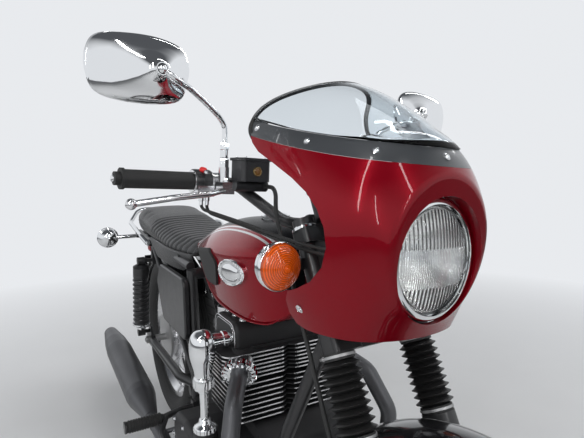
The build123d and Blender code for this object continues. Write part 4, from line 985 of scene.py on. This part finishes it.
def seat_skirt():
    """The cover's skirts, which hang outside the frame rails below the pad."""
    rear, front, drop, tuck = 134, 514, 47, 9
    rows = []
    for share in steps_of(8):
        row = []
        for n in range(41):
            x = rear + (front - rear) * n / 40
            reach = drop * min(1.0, (n + 4) / 12) * min(1.0, (44 - n) / 10)
            out = between(SEAT_RINGS, x, 1) + 3.2 * math.sin(math.pi * min(share * 1.2, 1)) + 1.2 - 3 * share
            row.append((x, out, seat_base(x) + tuck - (reach + tuck) * share))
        rows.append(row)
    skirt = Form().grid(rows).mirrored().piece("seat_skirt", VINYL, "chassis", "seat_cover")
    thicken(skirt, 2.6, offset=0)
    Form().tube(rows[-1], 2.0, 8).mirrored().piece("skirt_hem", VINYL, "chassis", "seat_cover")


def shock_springs():
    """The rear legs' coil springs and their seats."""
    springs, seats = Form(), Form()
    turns, steps, lowest, highest, radius, wire = 10, 20, 44, 226, 27.0, 4.2
    across = Vector((0, 1, 0))
    for side in SIDES:
        low, top = Vector((13, side * 158, 385)), Vector((71, side * 158, 676))
        way = (top - low).normalized()
        ahead = across.cross(way).normalized()
        path = []
        for n in range(turns * steps + 1):
            turn = 2 * math.pi * n / steps
            rise = lowest + (highest - lowest) * n / (turns * steps)
            path.append(low + way * rise + (ahead * math.cos(turn) + across * math.sin(turn)) * radius)
        springs.tube(path, wire, 8)
        seats.lathe([(26, 0), (32, 1), (33, 5), (32, 9), (26, 10)], low + way * 34, way, 32)
        seats.lathe([(14, 0), (19, 1), (19, 14), (14, 15)], low + way * 16, way, 6)
    springs.piece("rear_springs", SATIN_BLACK, "chassis", "gloss_black")
    seats.piece("spring_seats", CHROME, "chassis", "chrome")


def bevel_tower():
    """The cam drive's tower: a gland nut, a slim tube and the bell that turns in to the head."""
    axis = Vector((888, -194, 0))
    gland = [(0, 421), (26, 421), (26.5, 424), (26.5, 431), (24, 434.5), (18, 438), (14, 444), (13, 450),
             (10, 453)]
    neck = [(10, 512), (12.5, 514), (12.5, 519), (22, 523), (23.4, 526), (23.4, 546), (22, 550), (19.6, 553)]
    bend = [(19.6, 553), (20.6, 563), (24, 578), (28.6, 596), (30, 615), (29.2, 632), (25, 647), (16, 656.5),
            (6, 659.6), (0, 660)]
    bell = [(p.x, p.y) for p in smooth_path([(*spot, 0) for spot in bend], 5)]
    form = Form().lathe(gland + neck + bell, axis, (0, 0, 1), 72)
    drive_arm = [(18, -12), (18, 46), (20.5, 48), (20.5, 58), (17, 60), (17, 69)]
    form.lathe(drive_arm, axis + Vector((0, 0, 628)), (0, 1, 0), 56)
    for spoke in spokes(16, (1, 0, 0), (0, 1, 0)):
        for reach, low, high, radius in ((26.2, 423, 432, 1.5), (23.2, 528, 545, 1.1)):
            root = axis + spoke * reach
            form.tube([root + Vector((0, 0, low)), root + Vector((0, 0, high))], radius, 6)
    tower = form.piece("cam_drive_tower", CHROME, "chassis", "chrome")
    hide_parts("bevel_tower")


def on_node(node, x, z, side, rise=0.0):
    """The outermost place of a node at x and z on one side, lifted by rise along its surface's way."""
    start = Vector(((x - AXLE_TO_MIDDLE) / 1000, side * 0.4, z / 1000))
    hit, place, normal, _ = nodes[node].ray_cast(start, Vector((0, -side, 0)))
    return from_frame(place) + normal * rise if hit else Vector((x, side * 120, z))


def badge_relief():
    """A raised ring with a roped edge and a domed middle, on each oval badge."""
    form = Form()
    tilt, half_long, half_high, points = math.radians(8), 60, 30, 72
    # Share of the oval, rise over the tank, and whether the edge is roped
    rings = ((1.02, 0.3, 0), (1.02, 6.6, 0), (0.97, 9.6, 1), (0.89, 9.8, 1), (0.84, 6.9, 0), (0.72, 6.8, 0),
             (0.66, 9.2, 0), (0.45, 12.4, 0), (0.2, 14.0, 0), (0.02, 14.4, 0))
    for side in SIDES:
        rows = []
        for share, rise, rope in rings:
            row = []
            for n in range(points):
                turn = 2 * math.pi * n / points
                u, v = half_long * share * math.cos(turn), half_high * share * math.sin(turn)
                x = 915 + u * math.cos(tilt) - v * math.sin(tilt)
                z = 790 + u * math.sin(tilt) + v * math.cos(tilt)
                row.append(on_node("fuel_tank", x, z, side, rise - 1.6 * rope * (n % 2)))
            rows.append(row)
        form.grid(rows, wrap=True, flip=side < 0)
    form.piece("badge_relief", CHROME, "chassis", "chrome")


def tank_flange():
    """The lip where the tank's two halves are welded, along its foot."""
    foot = [(1068, 60, 728), (1038, 86, 701), (1000, 100, 692), (950, 110, 689), (880, 115, 690),
            (800, 117, 695), (720, 108, 707), (650, 95, 721), (590, 83, 733), (545, 74, 743)]
    line = smooth_path(foot, 5)
    lip = [[p + Vector(offset) for p in line]
           for offset in ((0, -9, 2.0), (0, 5.5, 0.5), (0, 5.5, -2.5), (0, -9, -1.5))]
    Form().grid(lip, flip=True).mirrored().piece("tank_flange", RED, "chassis", "red_paint", bevel=0.8)


def filler_cap():
    """The cap's stepped crown with its finger grips."""
    middle = Vector((885, 0, 903))
    crown = [(31.5, 0), (33, 1.5), (33, 4), (30.5, 6), (27, 8.5), (20, 10.5), (10, 11.4), (0, 11.6)]
    form = Form().lathe(crown, middle, (0, 0, 1), 56)
    for spoke in spokes(28, (1, 0, 0), (0, 1, 0)):
        root = middle + spoke * 33
        form.tube([root + Vector((0, 0, 0.6)), root + Vector((0, 0, 4.2))], 1.1, 6)
    form.piece("filler_crown", CHROME, "chassis", "chrome")


def peg_rubbers():
    """Ribbed sleeves on the rider's pegs."""
    profile = [(12.5, 0), (15, 1.5)]
    for rib in range(13):
        profile += [(radius, run + rib * 6.6)
                    for radius, run in ((16.4, 3), (16.4, 6.4), (14.4, 7.2), (14.4, 8.8))]
    profile += [(15, 90), (12.5, 91)]
    form = Form().lathe(profile, (654, 240, 352), (0, 1, 0), 28).mirrored()
    form.piece("peg_sleeves", RUBBER, "chassis", "rubber")


def cover_trim():
    """A bare machined edge round each end of the cam cover, its domed nuts and the side covers' bolts."""
    edge, nuts = Form(), Form()
    corner = [(26 * math.sin(turn), 26 * math.cos(turn)) for turn in (math.pi / 16 * k for k in range(9))]
    loop = [(782.5, 613), (782.5, 642)] + [(808.5 - up, 641.5 + out) for out, up in corner[1:]]
    loop += [(891.5 + out, 641.5 + up) for out, up in corner[:8]] + [(917.5, 642), (917.5, 613)]
    for y, middle, wide, high, radius in ((124.6, 640, 0.93, 0.93, 1.5), (124.9, 638, 0.80, 0.74, 1.0)):
        path = [(ENGINE_MIDDLE + (x - ENGINE_MIDDLE) * wide, y, middle + (z - middle) * high)
                for x, z in loop]
        edge.tube(path, radius, 8)
    edge.mirrored().piece("cover_edges", POLISHED, "chassis", "polished")
    dome = [(0, 0), (10, 0), (10, 1.4), (7.4, 1.6), (7.4, 7), (6.2, 10), (3.6, 12), (0, 12.6)]
    for x in (806, 850, 894):
        for y in (40, 96):
            nuts.lathe(dome, (x, y, 667.6), (0, 0, 1), 24)
    for x, z in ((950, 318), (936, 380), (868, 388), (800, 392), (726, 382), (716, 338), (732, 280),
                 (800, 268), (876, 260), (940, 282)):
        nuts.hex_bolt((x, 195.4, z), (0, 1, 0), 5.2, 5.5)
    nuts.mirrored()
    # The right cover stands 26 mm further out than the left one
    nuts.points = [p + Vector((0, -26, 0)) if p.y < -190 else p for p in nuts.points]
    right_boss = [(0, 0), (30, 0), (30, 2), (27, 3.5), (20, 4.2), (17, 3.2), (0, 3.2)]
    nuts.lathe(right_boss, (842, -221.6, 328), (0, -1, 0), 48)
    nuts.lathe([(0, 0), (27, 0), (27, 2), (24, 3.5), (0, 4.2)], (842, 195.6, 328), (0, 1, 0), 48)
    nuts.piece("engine_nuts", CHROME, "chassis", "chrome")


def collar_lobes():
    """Long fins around each exhaust clamp."""
    form = Form()
    way = Vector((0.767, 0.49, -0.414)).normalized()
    mouth = Vector((944, 126, 573))
    side = way.cross(Vector((0, 0, 1))).normalized()
    for spoke in spokes(18, side, side.cross(way).normalized()):
        across = way.cross(spoke)
        rows = []
        for reach, half, low, high in ((25, 2.9, 1.5, 18.5), (34, 2.7, 1.5, 18.5), (38.5, 2.3, 3.0, 17.0),
                                       (39.8, 1.2, 3.0, 17.0)):
            root = mouth + spoke * reach
            rows.append([root + across * half + way * low, root + across * half + way * high,
                         root - across * half + way * high, root - across * half + way * low])
        form.grid(rows, wrap=True).cap(rows[-1], flip=True)
    form.lathe([(20, 18), (26.5, 18), (28.5, 16), (28.5, 2), (20, 2)], mouth, way, 48)
    form.mirrored().piece("collar_lobes", CHROME, "chassis", "chrome")


def on_bar(y, ahead=0, up=0):
    """A place beside the handlebar's end run."""
    return 989 + ahead, y, 984 + up


def reservoir_parts():
    """The fluid window with its brass ring, the lid's screws and the cable ends at the bar."""
    window, brass, fittings = Form(), Form(), Form()
    window_middle = (1066.5, -139, 1006)
    window.lathe([(0, 0.4), (6.2, 0.4), (6.2, 1.2), (4, 1.9), (0, 2.2)], window_middle, (1, 0, 0), 28)
    brass.lathe([(6.2, 0.2), (6.6, 2.6), (8.6, 2.6), (9.6, 0.2)], window_middle, (1, 0, 0), 32)
    for x, y in ((1025, -118), (1059, -160), (1025, -160), (1059, -118)):
        fittings.screw((x, y, 1030.6), (0, 0, 1), 3.4, 1.8)
    throttle_end = [(0, 0), (5.4, 0), (5.4, 9), (4.2, 10), (4.2, 17), (3.2, 18)]
    clutch_end = [(0, 0), (6.5, 0), (6.5, 6), (5, 7), (5, 14), (3.2, 16)]
    for y in (-222, -210):
        fittings.lathe(throttle_end, (1003, y, 957), (0, 0, -1), 12)
    fittings.lathe(clutch_end, (1046, 181, 973), (1, 0, 0), 12)
    for side in SIDES:
        fittings.hex_bolt((1036, side * 187, 984.4), (0, 0, 1), 5.5, 7)
        fittings.hex_bolt((1012, side * 218, 1001), (0.55, 0, 0.83), 3.4, 4.5)
        fittings.lathe([(0, 0), (6.8, 0), (6.8, 3), (5, 4.6), (0, 5)], on_bar(side * 380), (0, side, 0), 20)
    window.piece("fluid_window", AMBER_GLASS, "steering", "clear_glass", steered=True)
    brass.piece("window_ring", BRASS, "steering", "polished", steered=True)
    fittings.piece("control_fittings", CHROME, "steering", "chrome", steered=True)


def bar_switches():
    """The switch cases over the housings, with the red stop rocker, a button and their seams."""
    case, rocker = Form(), Form()
    shell = [(18.5, 0), (22.4, 1.5), (23, 4), (23, 17.2), (22.2, 17.8), (22.2, 18.8), (23, 19.4), (23, 32),
             (22.4, 34.5), (18.5, 36)]
    for side in SIDES:
        case.lathe(shell, on_bar(side * 200.2), (0, side, 0), 40)
        case.screw(on_bar(side * 228, 20.5, 10.5), (0.86, 0, 0.5), 3.2)
    case.piece("switch_cases", SATIN_BLACK, "steering", "dark_plastic", steered=True)
    stop = [(0, 0), (7.6, 0), (7.6, 3.4), (6.4, 5.0), (3, 5.8), (0, 5.9)]
    button = [(0, 0), (5.2, 0), (5.2, 3.4), (4, 5.0), (0, 5.4)]
    rocker.lathe(stop, on_bar(-218, 11, 20), (0.48, 0, 0.88), 24)
    rocker.lathe(button, on_bar(212, 11, 20), (0.48, 0, 0.88), 20)
    rocker.piece("stop_rocker", SWITCH_RED, "steering", "dark_plastic", steered=True)


def gauges():
    """Dials with ticks and hands, chrome bezels and domed glasses, facing the rider."""
    dial, marks, bezel, glass = Form(), Form(), Form(), Form()
    ticks, first_turn, sweep, hand_turn = 24, -140, 280, -128

    def dial_spoke(degrees):
        turn = math.radians(degrees)
        return STEERING_AHEAD * math.cos(turn) + Vector((0, 1, 0)) * math.sin(turn)

    for side in SIDES:
        middle = fork_spot(1066, 84, side * 48)
        dial.lathe([(37, 0.2), (36, 0.6), (0, 0.6)], middle, STEERING_UP, 48)
        bezel.lathe([(41, -9), (42, -7), (42, 0), (41, 3), (38.5, 4.2), (36.5, 3.0), (36.5, 0.6)], middle,
                    STEERING_UP, 64)
        glass.lathe([(36.6, 2.4), (26, 3.6), (12, 4.2), (0, 4.4)], middle, STEERING_UP, 48)
        base = middle + STEERING_UP * 0.9
        for n in range(ticks + 1):
            spoke = dial_spoke(first_turn + sweep * n / ticks)
            inner, radius = (27, 0.75) if n % 4 == 0 else (30, 0.45)
            marks.tube([base + spoke * inner, base + spoke * 33.5], radius, 4)
        spoke = dial_spoke(hand_turn)
        base = middle + STEERING_UP * 1.6
        marks.tube([base - spoke * 6, base + spoke * 28], [1.5, 0.5], 6)
        bezel.lathe([(0, 3.0), (4, 2.6), (4.6, 0.6)], middle, STEERING_UP, 20)
    dial.piece("gauge_dials", PLASTIC, "steering", "dark_plastic", steered=True)
    marks.piece("gauge_marks", DIAL_WHITE, "steering", "dark_plastic", steered=True)
    bezel.piece("gauge_bezels", CHROME, "steering", "chrome", steered=True)
    glass.piece("gauge_glasses", BULB_GLASS, "steering", "clear_glass", steered=True)


def gaiter_boots():
    """Rubber boots with deep rounded pleats and a clamp at each end."""
    form, clamps = Form(), Form()
    length, pleats, end = 139.0, 9, 12
    pitch = (length - 2 * end - 2) / pleats
    profile = [(27, 0), (29, 0.5), (29, 11), (27, 12)]
    for n in range(pleats):
        foot = end + pitch * n
        profile += [(24.6, foot + 0.6), (29.5, foot + pitch * 0.24), (33.6, foot + pitch * 0.41),
                    (34.6, foot + pitch * 0.5), (33.6, foot + pitch * 0.59), (29.5, foot + pitch * 0.76)]
    profile += [(25, length - 13.4), (29, length - 12), (29, length - 0.5), (27, length)]
    strap = [(28.8, 0), (30.4, 0.4), (30.4, 4.6), (28.8, 5)]
    for y in FORK_LEGS:
        root = fork_spot(636, 48, y)
        out = Vector((0, math.copysign(1, y), 0))
        form.lathe(profile, root, STEERING_UP, 56)
        for height in (3.5, length - 8.5):
            clamps.lathe(strap, root + STEERING_UP * height, STEERING_UP, 48)
            clamps.screw(root + STEERING_UP * (height + 2.5) + out * 30, out, 2.6, 2.4)
    boots = form.piece("gaiter_boots", GAITER, "steering", "rubber", steered=True)
    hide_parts("fork_gaiters")
    clamps.piece("gaiter_clamps", STEEL, "steering", "steel", steered=True)


def fork_caps():
    """Domed caps on the fork tubes, and the steering stem's nut."""
    form = Form()
    top = 990
    for y in FORK_LEGS:
        form.lathe([(23, 0), (23, 5), (21, 7), (15, 7.4)], fork_spot(top, 48, y), STEERING_UP, 40)
        form.lathe([(14.5, 7), (14.5, 14), (12.5, 16), (0, 16.4)], fork_spot(top, 48, y), STEERING_UP, 6)
    stem_nut = [(20, 0), (20, 3), (17, 4), (17, 12), (14, 14), (0, 14.4)]
    form.lathe(stem_nut, fork_spot(top, 0, 0), STEERING_UP, 6)
    form.piece("fork_caps", CHROME, "steering", "chrome", steered=True)


def signal_bezels():
    """Turned rings on the signals' chrome bowls."""
    rim = [(38.5, -1), (41.2, -1), (42.0, 1.0), (41.6, 4.2), (40.2, 5.6), (38.2, 5.0)]
    for name, body, steered, facing, place in (
        ("front_signal_rings", "steering", True, 1, FRONT_SIGNAL),
        ("rear_signal_rings", "chassis", False, -1, REAR_SIGNAL),
    ):
        form = Form()
        ahead = Vector((facing, 0, 0))
        for middle in both_sides(place)[::-1]:
            form.lathe(rim, middle, ahead, 72)
            for depth, radius in ((-7, 39.5), (-12, 37.9), (-17, 35.4)):
                ridge = [(radius - 1.2, -1.5), (radius + 0.9, -0.7), (radius + 0.9, 0.7), (radius - 1.2, 1.5)]
                form.lathe(ridge, Vector(middle) + ahead * depth, ahead, 56)
        form.piece(name, CHROME, body, "chrome", steered=steered)


def wheel_parts():
    """Spoke nipples at both rims, and the tyres' valves."""
    nipple = [(0, 0), (3.4, 0), (3.4, 8), (2.4, 9), (2.4, 16), (0, 16)]
    valve = [(0, 0), (4.2, 0), (4.2, 26), (3.4, 28), (0, 28)]
    valve_turn = math.radians(-70)
    for name, body, steered, axle, reach in (("front_nipples", "front_wheel", True, FRONT_AXLE, 206),
                                             ("rear_nipples", "rear_wheel", False, REAR_AXLE, 207)):
        form = Form()
        for n, spoke in enumerate(spokes(36, (1, 0, 0), (0, 0, 1), 0.5)):
            root = Vector(axle) + spoke * reach + Vector((0, 5 if n % 2 else -5, 0))
            form.lathe(nipple, root, -spoke, 6)
        spoke = Vector((math.cos(valve_turn), 0, math.sin(valve_turn)))
        form.lathe(valve, Vector(axle) + spoke * reach, -spoke, 10)
        form.piece(name, STEEL, body, "steel", steered=steered)


# Camera, light and floor

PALE_BACKDROP = (0.9, 0.92, 0.95, 1.0)


def aim(obj, place, forward, up):
    """Sets an object at a place, looking along forward."""
    back = -Vector(forward).normalized()
    right = Vector(up).cross(back).normalized()
    turn = Matrix((right, back.cross(right), back)).transposed().to_4x4()
    obj.matrix_world = Matrix.Translation(place) @ turn


def stand_camera():
    """The camera at the photograph's angle, fitted to points of the motorcycle."""
    camera = bpy.data.objects.new("camera", bpy.data.cameras.new("camera"))
    bpy.context.scene.collection.objects.link(camera)
    camera.data.lens = 30.08
    camera.data.sensor_width = 36
    camera.data.clip_start = 0.02
    aim(camera, set_out(1922, -522, 1029), (-0.872, 0.4765, -0.1125), (-0.091, 0.068, 0.994))
    bpy.context.scene.camera = camera


# Lamps: place, looks at, width, height, watts; only the tubes show in polished parts
LAMPS = (
    ("ceiling", (0.6, 0.4, 3.4), (0.2, 0.0, 0.5), 2.6, 1.0, 34),
    ("tube_right", (1.3, -1.5, 2.6), (0.6, 0.0, 0.9), 0.10, 2.6, 15),
    ("tube_front", (2.9, 0.5, 2.5), (0.6, 0.0, 0.9), 0.10, 2.4, 13),
    ("tube_far", (3.4, -2.2, 2.3), (0.6, 0.0, 0.9), 0.08, 1.6, 9),
    ("tube_left", (0.2, 1.6, 2.8), (0.2, 0.0, 0.8), 0.08, 2.4, 9),
    ("right_wall", (0.3, -3.4, 1.9), (0.1, 0.0, 0.6), 2.4, 1.2, 34),
    ("left_wall", (1.0, 3.4, 2.2), (0.3, 0.0, 0.7), 2.0, 1.4, 22),
    ("rear", (-3.0, -1.2, 2.2), (-0.4, 0.0, 0.6), 1.6, 1.6, 22),
)


def hang_lamps():
    for name, place, target, width, height, power in LAMPS:
        lamp = bpy.data.objects.new(name, bpy.data.lights.new(name, "AREA"))
        bpy.context.scene.collection.objects.link(lamp)
        lamp.data.shape = "RECTANGLE"
        lamp.data.size, lamp.data.size_y, lamp.data.energy = width, height, power
        lamp.visible_glossy = name.startswith("tube")
        aim(lamp, Vector(place), Vector(target) - Vector(place), (0, 0.01, 1))


def light_room():
    """A dim even light; camera, metal and glass see the room pale, and darker overhead."""
    world = bpy.data.worlds.new("studio")
    bpy.context.scene.world = world
    world.use_nodes = True
    room = Nodes(world.node_tree)
    background = room.tree.nodes["Background"]
    seen = room.ray("Is Camera Ray").larger(room.ray("Is Glossy Ray")).larger(room.ray("Is Transmission Ray"))
    room.connect(seen * 0.60 + 0.30, background.inputs["Strength"])
    _, _, height = room.axes(room.add("ShaderNodeTexCoord", output="Generated"))
    stops = [(0.40, PALE_BACKDROP), (0.72, (0.10, 0.105, 0.115, 1))]
    room.connect(room.add("ShaderNodeValToRGB", {"stops": stops}, [height]), background.inputs["Color"])


def lay_floor():
    """A pale floor that fades into the backdrop far from the motorcycle."""
    reach = 9.0
    corners = [(-reach, -reach, 0), (reach, -reach, 0), (reach, reach, 0), (-reach, reach, 0)]
    mesh = bpy.data.meshes.new("floor")
    mesh.from_pydata(corners, [], [(0, 1, 2, 3)])
    floor = bpy.data.objects.new("floor", mesh)
    bpy.context.scene.collection.objects.link(floor)
    pale = Finish("pale_floor", (0.72, 0.73, 0.74), roughness=0.7)
    pale.feed("Base Color", pale.blend(pale.noise(3.0, 4.0), (0.70, 0.71, 0.72), (0.76, 0.77, 0.78)))
    x, y, _ = pale.axes(pale.place)
    direct = pale.ray("Is Camera Ray").larger(pale.ray("Is Transmission Ray"))
    far = from_axis(x, y).above(2.4, 1.3) * direct
    haze = pale.add("ShaderNodeEmission", None, {"Color": PALE_BACKDROP, "Strength": 0.9})
    mixed = pale.add("ShaderNodeMixShader", None, [far, Value(pale, pale.shader.outputs[0]), haze])
    pale.connect(mixed, pale.tree.nodes["Material Output"].inputs["Surface"])
    floor.data.materials.append(pale.material)


bpy.context.scene.view_settings.view_transform = "Standard"
for make in (stand_camera, hang_lamps, light_room, lay_floor, screen, band_ends, fairing_screws,
             headlight_inside, mirror_heads, seat_pad, seat_skirt, shock_springs, bevel_tower, badge_relief,
             tank_flange, filler_cap, peg_rubbers, cover_trim, collar_lobes, reservoir_parts, bar_switches,
             gauges, gaiter_boots, fork_caps, signal_bezels, wheel_parts):
    make()
